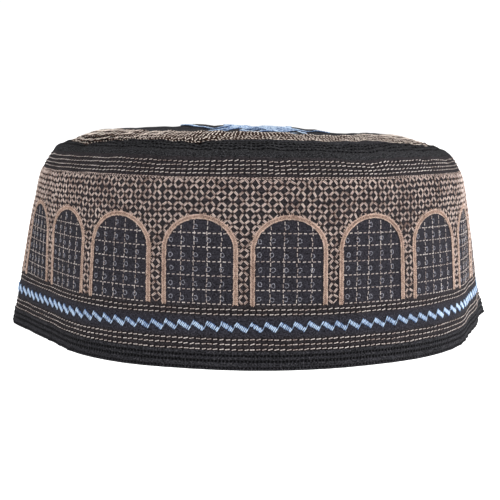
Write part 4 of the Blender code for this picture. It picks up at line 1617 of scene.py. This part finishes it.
def field_mask(heading, run):
    """Where the wall's cloth looks bluish: in the arches and under the zigzag."""
    distance = round_of(heading) - ROUND_START
    height = np.interp(run, FINE_RUNS, FINE_HEIGHTS)
    in_arch = inside_arch(distance, height, ARCH_BORDER_WIDTH * 0.7) * 0.75
    band = soft_step(11.6, 12.6, height) * (1 - soft_step(18.0, 19.0, height))
    return np.maximum(in_arch, band)


def build_wall():
    cloth = settings().cloth
    headings = heading_grid(BAND_HEADINGS)
    low, high = run_at_height(HEM_TOP) - 0.4, run_at_height(SIDE_TOP) + 0.8
    runs, lifts, outside = band_section(low, high, WALL_ROWS, 0.0, WALL_THICKNESS)
    heads, out = headings[:, None], runs[outside]
    pull = sum(bump_at(out, run_at_height(row.height), PULL_HALF_WIDTH) for row in TAN_ROWS)
    lifts[:, outside] -= PULL_DEPTH * pull[None, :]
    lifts[:, outside] += waves(heads, out[None, :], WALL_WAVES)
    # The tan rows' dents, with painted shade along them
    pierced = [
        QuiltRow(run_at_height(row.height), row.pitch, PIERCED_HALF_WIDTH, PIERCED_DEPTH_AND_SHADE) for row in TAN_ROWS
    ]
    look = ClothLook(cloth.warm, cloth.field, "field", pierced, 0.25, 0.00022, 0.6, (1.0, 1.0, 1.0))
    material = cloth_material("black_wall_cloth", look)
    piece, heads, at = turned_cloth("wall_cloth", headings, runs, lifts, material)
    paint(piece, "field", field_mask(heads, at))
    finish_piece(piece, "black_cloth", "side_band")


def ring_mask(heading, run):
    """Where the cloth lies under the crown's stitched ring."""
    radius = radius_at(run)
    inner, outer, _ = ring_edges(heading)
    return soft_step(inner - 0.8, inner, radius) * (1 - soft_step(outer - 0.3, outer + 0.4, radius))


def creases(heading, run):
    """How deep the shoulder is pulled in here by its short folds."""
    depth = 0.0
    for fold in CREASES:
        across = bump_at(turn_from(heading, fold.heading), 0, fold.half_width)
        depth = depth + fold.depth * across * bump_at(run, fold.run, fold.half_run)
    return depth


def build_shoulder():
    cloth = settings().cloth
    headings = heading_grid(BAND_HEADINGS)
    low = run_at_height(SIDE_TOP) + 0.1
    high = run_at_radius(CROWN_EDGE_SHARE * REFERENCE_RADIUS) + 0.3
    runs, lifts, outside = band_section(low, high, SHOULDER_ROWS, -0.3, SHOULDER_THICKNESS)
    heads, out = headings[:, None], runs[outside]
    padding = quilt_relief(out, [row.height for row in SHOULDER_QUILTING], low, high)
    pucker = 1 + waves(heads, out[None, :], SHOULDER_PUCKERS)
    lifts[:, outside] += padding[None, :] * pucker * cloth.quilt_depth / MM
    dents = waves(heads, out[None, :], SHOULDER_DENTS)
    lifts[:, outside] += dents * (1 - soft_step(78.0, 82.0, out) * 0.6)[None, :]
    lifts[:, outside] -= creases(heads, out[None, :])
    rows, stretch = SHOULDER_QUILTING, (1.0, 1.6, 1.0)
    look = ClothLook(cloth.shoulder, cloth.under_ring, "under_ring", rows, 0.3, 0.00045, 1.6, stretch)
    material = cloth_material("black_quilted_shoulder", look)
    piece, heads, at = turned_cloth("shoulder_cloth", headings, runs, lifts, material)
    paint(piece, "under_ring", ring_mask(heads, at))
    finish_piece(piece, "quilted_black_cloth", "shoulder_band")


def build_crown():
    cloth = settings().cloth
    number = CROWN_HEADINGS
    headings = np.arange(number) * (360.0 / number) - 180.0
    start = run_at_radius(CROWN_EDGE_SHARE * REFERENCE_RADIUS) - 0.2
    outside = np.linspace(start, FULL_RUN - 1.2, CROWN_ROWS[0])
    inside = np.linspace(FULL_RUN - 4.0, start, CROWN_ROWS[1])
    heads = headings[:, None]
    wrinkle = waves(heads, outside[None, :], CROWN_WRINKLES)
    outer = cloth_point(heads, outside[None, :], wrinkle * soft_step(0, 40, FULL_RUN - outside))
    inner = cloth_point(heads, inside[None, :], -WALL_THICKNESS)
    rows = sum(CROWN_ROWS)
    points = np.concatenate([outer, inner], axis=1)
    faces = ring_faces(number, rows)
    faces = faces[faces[:, 0] % rows != len(outside) - 1]
    poles = np.stack([cloth_point(0.0, FULL_RUN, 0.0), cloth_point(0.0, FULL_RUN, -WALL_THICKNESS)])
    vertices = np.concatenate([points.reshape(-1, 3), poles])
    top, under = number * rows, number * rows + 1
    last, first_inner = len(outside) - 1, len(outside)
    ring = np.arange(number)
    step = (ring + 1) % number
    fan = [(i * rows + last, j * rows + last, top) for i, j in zip(ring, step)]
    fan += [(j * rows + first_inner, i * rows + first_inner, under) for i, j in zip(ring, step)]
    look = ClothLook(cloth.black, cloth.under_ring, "under_ring", (), 0.25, 0.0003, 0.8, (1.0, 1.0, 1.0))
    material = cloth_material("black_crown_cloth", look)
    piece = new_piece("crown_cloth", vertices, [*faces, *fan], material)
    map_cloth(piece, vertices[:, 0], vertices[:, 1])
    mask = ring_mask(np.repeat(headings, rows), np.tile(np.concatenate([outside, inside]), number))
    paint(piece, "under_ring", np.append(mask, (0.0, 0.0)))
    finish_piece(piece, "black_cloth", "crown_panel")


# Stitched pieces


def stitched(name, work, thread, slot, nodes=(), **options):
    """A finished piece of stitches in one thread, in place of these CAD nodes."""
    piece = stitch_piece(name, work, thread_material(thread), **options)
    finish_piece(piece, slot, *nodes)


def rows_of(rows, first_seed, make=running_row, **options):
    """The stitches of several rows, each with its own seed."""
    return joined(*(make(row, first_seed + i, **options) for i, row in enumerate(rows)))


def build_borders():
    nodes = [f"arch_trim_{number:02d}" for number in range(1, ARCH_COUNT + 1)]
    strands = joined(*(border_strand(strand) for strand in BORDER_STRANDS))
    core = border_strand(BORDER_CORE)
    stitched("arch_borders", strands, "tan_border_satin", "tan_thread", nodes, turn_spread=0.06, seed=1)
    stitched("arch_border_cores", core, "tan_border_core", "tan_thread", turn_spread=0.06, seed=13)
    stitched("arch_border_tufts", border_tufts(), "tan_border_satin", "tan_thread", sides=3, seed=2)


def build_grids():
    work = joined(*(grid_stitches(middle, 100 + i) for i, middle in enumerate(arch_middles())))
    stitched("arch_grids", work, "pale_thread_twisted", "tan_thread", seed=3)


def build_eyelets():
    stitched("arch_eyelets", eyelet_strokes(), "grey_eyelet_thread", "tan_thread", sides=3, seed=4)


def build_lattice():
    stitched("ring_lattice", ring_strokes(), "tan_thread_twisted", "tan_thread", seed=5)


def build_rows():
    rows = rows_of(TAN_ROWS, 200)
    stitched("running_rows", rows, "pale_thread_twisted", "tan_thread", taper=0.1, seed=6)
    rows = rows_of(LATTICE_TOP_ROWS, 240)
    stitched("lattice_edge_rows", rows, "tan_thread_twisted", "tan_thread", sides=3, seed=11)


def build_zigzag():
    options = {"turn_spread": 0.03, "unevenness": 0.08, "seed": 7}
    stitched("zigzag_blocks", zigzag_stitches(), "light_blue_thread_satin", "light_blue_thread", **options)


def build_crown_ring():
    stitched("crown_ring", ring_stitches(), "pale_ring_thread", "tan_thread", turn_spread=0.06, seed=8)


def build_rosette():
    nodes = [f"rosette_petal_{number:02d}" for number in range(1, PETAL_COUNT + 1)]
    thread, options = "light_blue_thread_satin", {"unevenness": 0.08, "seed": 9}
    stitched("crown_rosette", rosette_stitches(), thread, "light_blue_thread", nodes, **options)


def build_quilting():
    thread, slot = "black_quilting_thread", "quilted_black_cloth"
    rows = [RowOfStitches(row.height, row.pitch, row.pitch * 0.40, 0.26, 2) for row in HEM_QUILTING]
    work = rows_of(rows, 300, height_share=0.5)
    stitched("hem_quilting_stitches", work, thread, slot, sides=3, unevenness=0.05, seed=10)
    work = rows_of(SHOULDER_QUILTING, 320, shoulder_row)
    stitched("shoulder_quilting_stitches", work, thread, slot, sides=3, seed=12)


# Stage


def floor_mesh(radius):
    """A round floor's vertices and faces, as rings round its middle."""
    number = FLOOR_SIDES
    angle = np.arange(number) * 2 * math.pi / number
    rings = [radius * share / MM for share in FLOOR_RING_SHARES]
    points = [np.stack([r * np.cos(angle), r * np.sin(angle), np.zeros(number)], 1) for r in rings]
    faces = [(0, 1 + i, 1 + (i + 1) % number) for i in range(number)]
    for base in (1, 1 + number):
        for i in range(number):
            j = (i + 1) % number
            faces.append((base + i, base + number + i, base + number + j, base + j))
    return np.concatenate([[(0.0, 0.0, 0.0)], *points]), faces


def build_floor():
    stage = settings().stage
    material, tree, shader = new_material("white_floor", 0.9, 0.0, 0.0)
    place = tree.nodes.new("ShaderNodeTexCoord").outputs["Object"]
    grain = noise(tree, place, *FLOOR_GRAIN_NOISE)
    darker = rgba([value * FLOOR_GRAIN_SHADE for value in stage.floor_colour])
    colour = mixed(tree, grain, rgba(stage.floor_colour), darker)
    tree.links.new(colour, shader.inputs["Base Color"])
    seen = tree.nodes.new("ShaderNodeLightPath").outputs["Is Camera Ray"]
    glow = maths(tree, "MULTIPLY_ADD", seen, stage.backdrop - stage.floor_glow, stage.floor_glow)
    shader.inputs["Emission Color"].default_value = WHITE
    tree.links.new(glow, shader.inputs["Emission Strength"])
    vertices, faces = floor_mesh(stage.floor_radius)
    floor = new_piece("floor", vertices, faces, material)


def area_light(name, place, size, power):
    """A white disk of light, turned to the cap."""
    data = bpy.data.lights.new(name, "AREA")
    data.shape = "DISK"
    data.size = size
    data.energy = power
    light = bpy.data.objects.new(name, data)
    bpy.context.scene.collection.objects.link(light)
    light.location = place
    toward = np.array(LIGHT_AIM) - np.array(place)
    tilt = math.acos(-toward[2] / np.linalg.norm(toward))
    light.rotation_euler = (tilt, 0.0, math.atan2(toward[1], toward[0]) - math.pi / 2)


def build_lights():
    stage = settings().stage
    for light in LIGHTS:
        area_light(light.name, light.place, light.size, getattr(stage, light.power))
    world = bpy.context.scene.world or bpy.data.worlds.new("white_room")
    bpy.context.scene.world = world
    world.use_nodes = True
    tree = world.node_tree
    background = tree.nodes.get("Background") or tree.nodes.new("ShaderNodeBackground")
    background.inputs["Color"].default_value = WHITE
    seen = tree.nodes.new("ShaderNodeLightPath").outputs["Is Camera Ray"]
    strength = maths(tree, "MULTIPLY_ADD", seen, stage.backdrop - stage.daylight, stage.daylight)
    tree.links.new(strength, background.inputs["Strength"])


def build_camera():
    data = bpy.data.cameras.new("camera")
    data.sensor_fit = "HORIZONTAL"
    data.sensor_width = CAMERA_SENSOR
    data.lens = CAMERA_LENS
    data.clip_start, data.clip_end = CAMERA_CLIP
    camera = bpy.data.objects.new("camera", data)
    bpy.context.scene.collection.objects.link(camera)
    camera.location = CAMERA_PLACE
    camera.rotation_mode = "XYZ"
    pitch = math.radians(90.0 - CAMERA_PITCH)
    camera.rotation_euler = (pitch, 0.0, 0.0)
    camera.rotation_euler.rotate_axis("Z", math.radians(CAMERA_ROLL))
    bpy.context.scene.camera = camera


# Operators and panel


class CAP_OT_hem(Operator):
    """Make the quilted hem."""

    bl_idname = "prayer_cap.hem"
    bl_label = "Hem"
    bl_options = {"REGISTER", "UNDO"}

    def execute(self, context):
        build_hem()
        return {"FINISHED"}


class CAP_OT_wall(Operator):
    """Make the wall's cloth."""

    bl_idname = "prayer_cap.wall"
    bl_label = "Wall cloth"
    bl_options = {"REGISTER", "UNDO"}

    def execute(self, context):
        build_wall()
        return {"FINISHED"}


class CAP_OT_shoulder(Operator):
    """Make the quilted shoulder."""

    bl_idname = "prayer_cap.shoulder"
    bl_label = "Shoulder"
    bl_options = {"REGISTER", "UNDO"}

    def execute(self, context):
        build_shoulder()
        return {"FINISHED"}


class CAP_OT_crown(Operator):
    """Make the crown's cloth."""

    bl_idname = "prayer_cap.crown"
    bl_label = "Crown cloth"
    bl_options = {"REGISTER", "UNDO"}

    def execute(self, context):
        build_crown()
        return {"FINISHED"}


class CAP_OT_arches(Operator):
    """Stitch the arches: their borders, grids and eyelets."""

    bl_idname = "prayer_cap.arches"
    bl_label = "Arches"
    bl_options = {"REGISTER", "UNDO"}

    def execute(self, context):
        build_borders()
        build_grids()
        build_eyelets()
        return {"FINISHED"}


class CAP_OT_lattice(Operator):
    """Stitch the lattice of rings."""

    bl_idname = "prayer_cap.lattice"
    bl_label = "Ring lattice"
    bl_options = {"REGISTER", "UNDO"}

    def execute(self, context):
        build_lattice()
        return {"FINISHED"}


class CAP_OT_rows(Operator):
    """Stitch the tan rows and the quilting."""

    bl_idname = "prayer_cap.rows"
    bl_label = "Rows of stitches"
    bl_options = {"REGISTER", "UNDO"}

    def execute(self, context):
        build_rows()
        build_quilting()
        return {"FINISHED"}


class CAP_OT_zigzag(Operator):
    """Stitch the light-blue zigzag."""

    bl_idname = "prayer_cap.zigzag"
    bl_label = "Zigzag"
    bl_options = {"REGISTER", "UNDO"}

    def execute(self, context):
        build_zigzag()
        return {"FINISHED"}


class CAP_OT_crown_work(Operator):
    """Stitch the crown's ring and rosette."""

    bl_idname = "prayer_cap.crown_work"
    bl_label = "Crown embroidery"
    bl_options = {"REGISTER", "UNDO"}

    def execute(self, context):
        build_crown_ring()
        build_rosette()
        return {"FINISHED"}


class CAP_OT_stage(Operator):
    """Make the floor, the lights and the camera."""

    bl_idname = "prayer_cap.stage"
    bl_label = "Stage"
    bl_options = {"REGISTER", "UNDO"}

    def execute(self, context):
        build_floor()
        build_lights()
        build_camera()
        return {"FINISHED"}


OPERATORS = (
    CAP_OT_hem,
    CAP_OT_wall,
    CAP_OT_shoulder,
    CAP_OT_crown,
    CAP_OT_arches,
    CAP_OT_lattice,
    CAP_OT_rows,
    CAP_OT_zigzag,
    CAP_OT_crown_work,
    CAP_OT_stage,
)


class CapSettings(PropertyGroup):
    """All the settings of the cap."""

    cloth: PointerProperty(type=ClothSettings)
    thread: PointerProperty(type=ThreadSettings)
    stage: PointerProperty(type=StageSettings)


class CAP_PT_panel(Panel):
    """The sidebar panel of the cap."""

    bl_idname = "CAP_PT_panel"
    bl_label = "Prayer cap"
    bl_space_type = "VIEW_3D"
    bl_region_type = "UI"
    bl_category = "Prayer cap"

    def draw(self, context):
        for operator in OPERATORS:
            self.layout.operator(operator.bl_idname)
        cap = context.scene.prayer_cap
        for group in (cap.cloth, cap.thread, cap.stage):
            box = self.layout.box()
            for name in group.bl_rna.properties.keys():
                if name not in ("rna_type", "name"):
                    box.prop(group, name)


CLASSES = (ClothSettings, ThreadSettings, StageSettings, CapSettings, *OPERATORS, CAP_PT_panel)


def register():
    for cls in CLASSES:
        bpy.utils.register_class(cls)
    bpy.types.Scene.prayer_cap = PointerProperty(type=CapSettings)


def unregister():
    del bpy.types.Scene.prayer_cap
    for cls in reversed(CLASSES):
        bpy.utils.unregister_class(cls)


def main():
    register()
    scene = bpy.context.scene
    scene.view_settings.view_transform = "Standard"
    for operator in OPERATORS:
        group, name = operator.bl_idname.split(".")
        getattr(getattr(bpy.ops, group), name)()


if __name__ == "__main__":
    main()
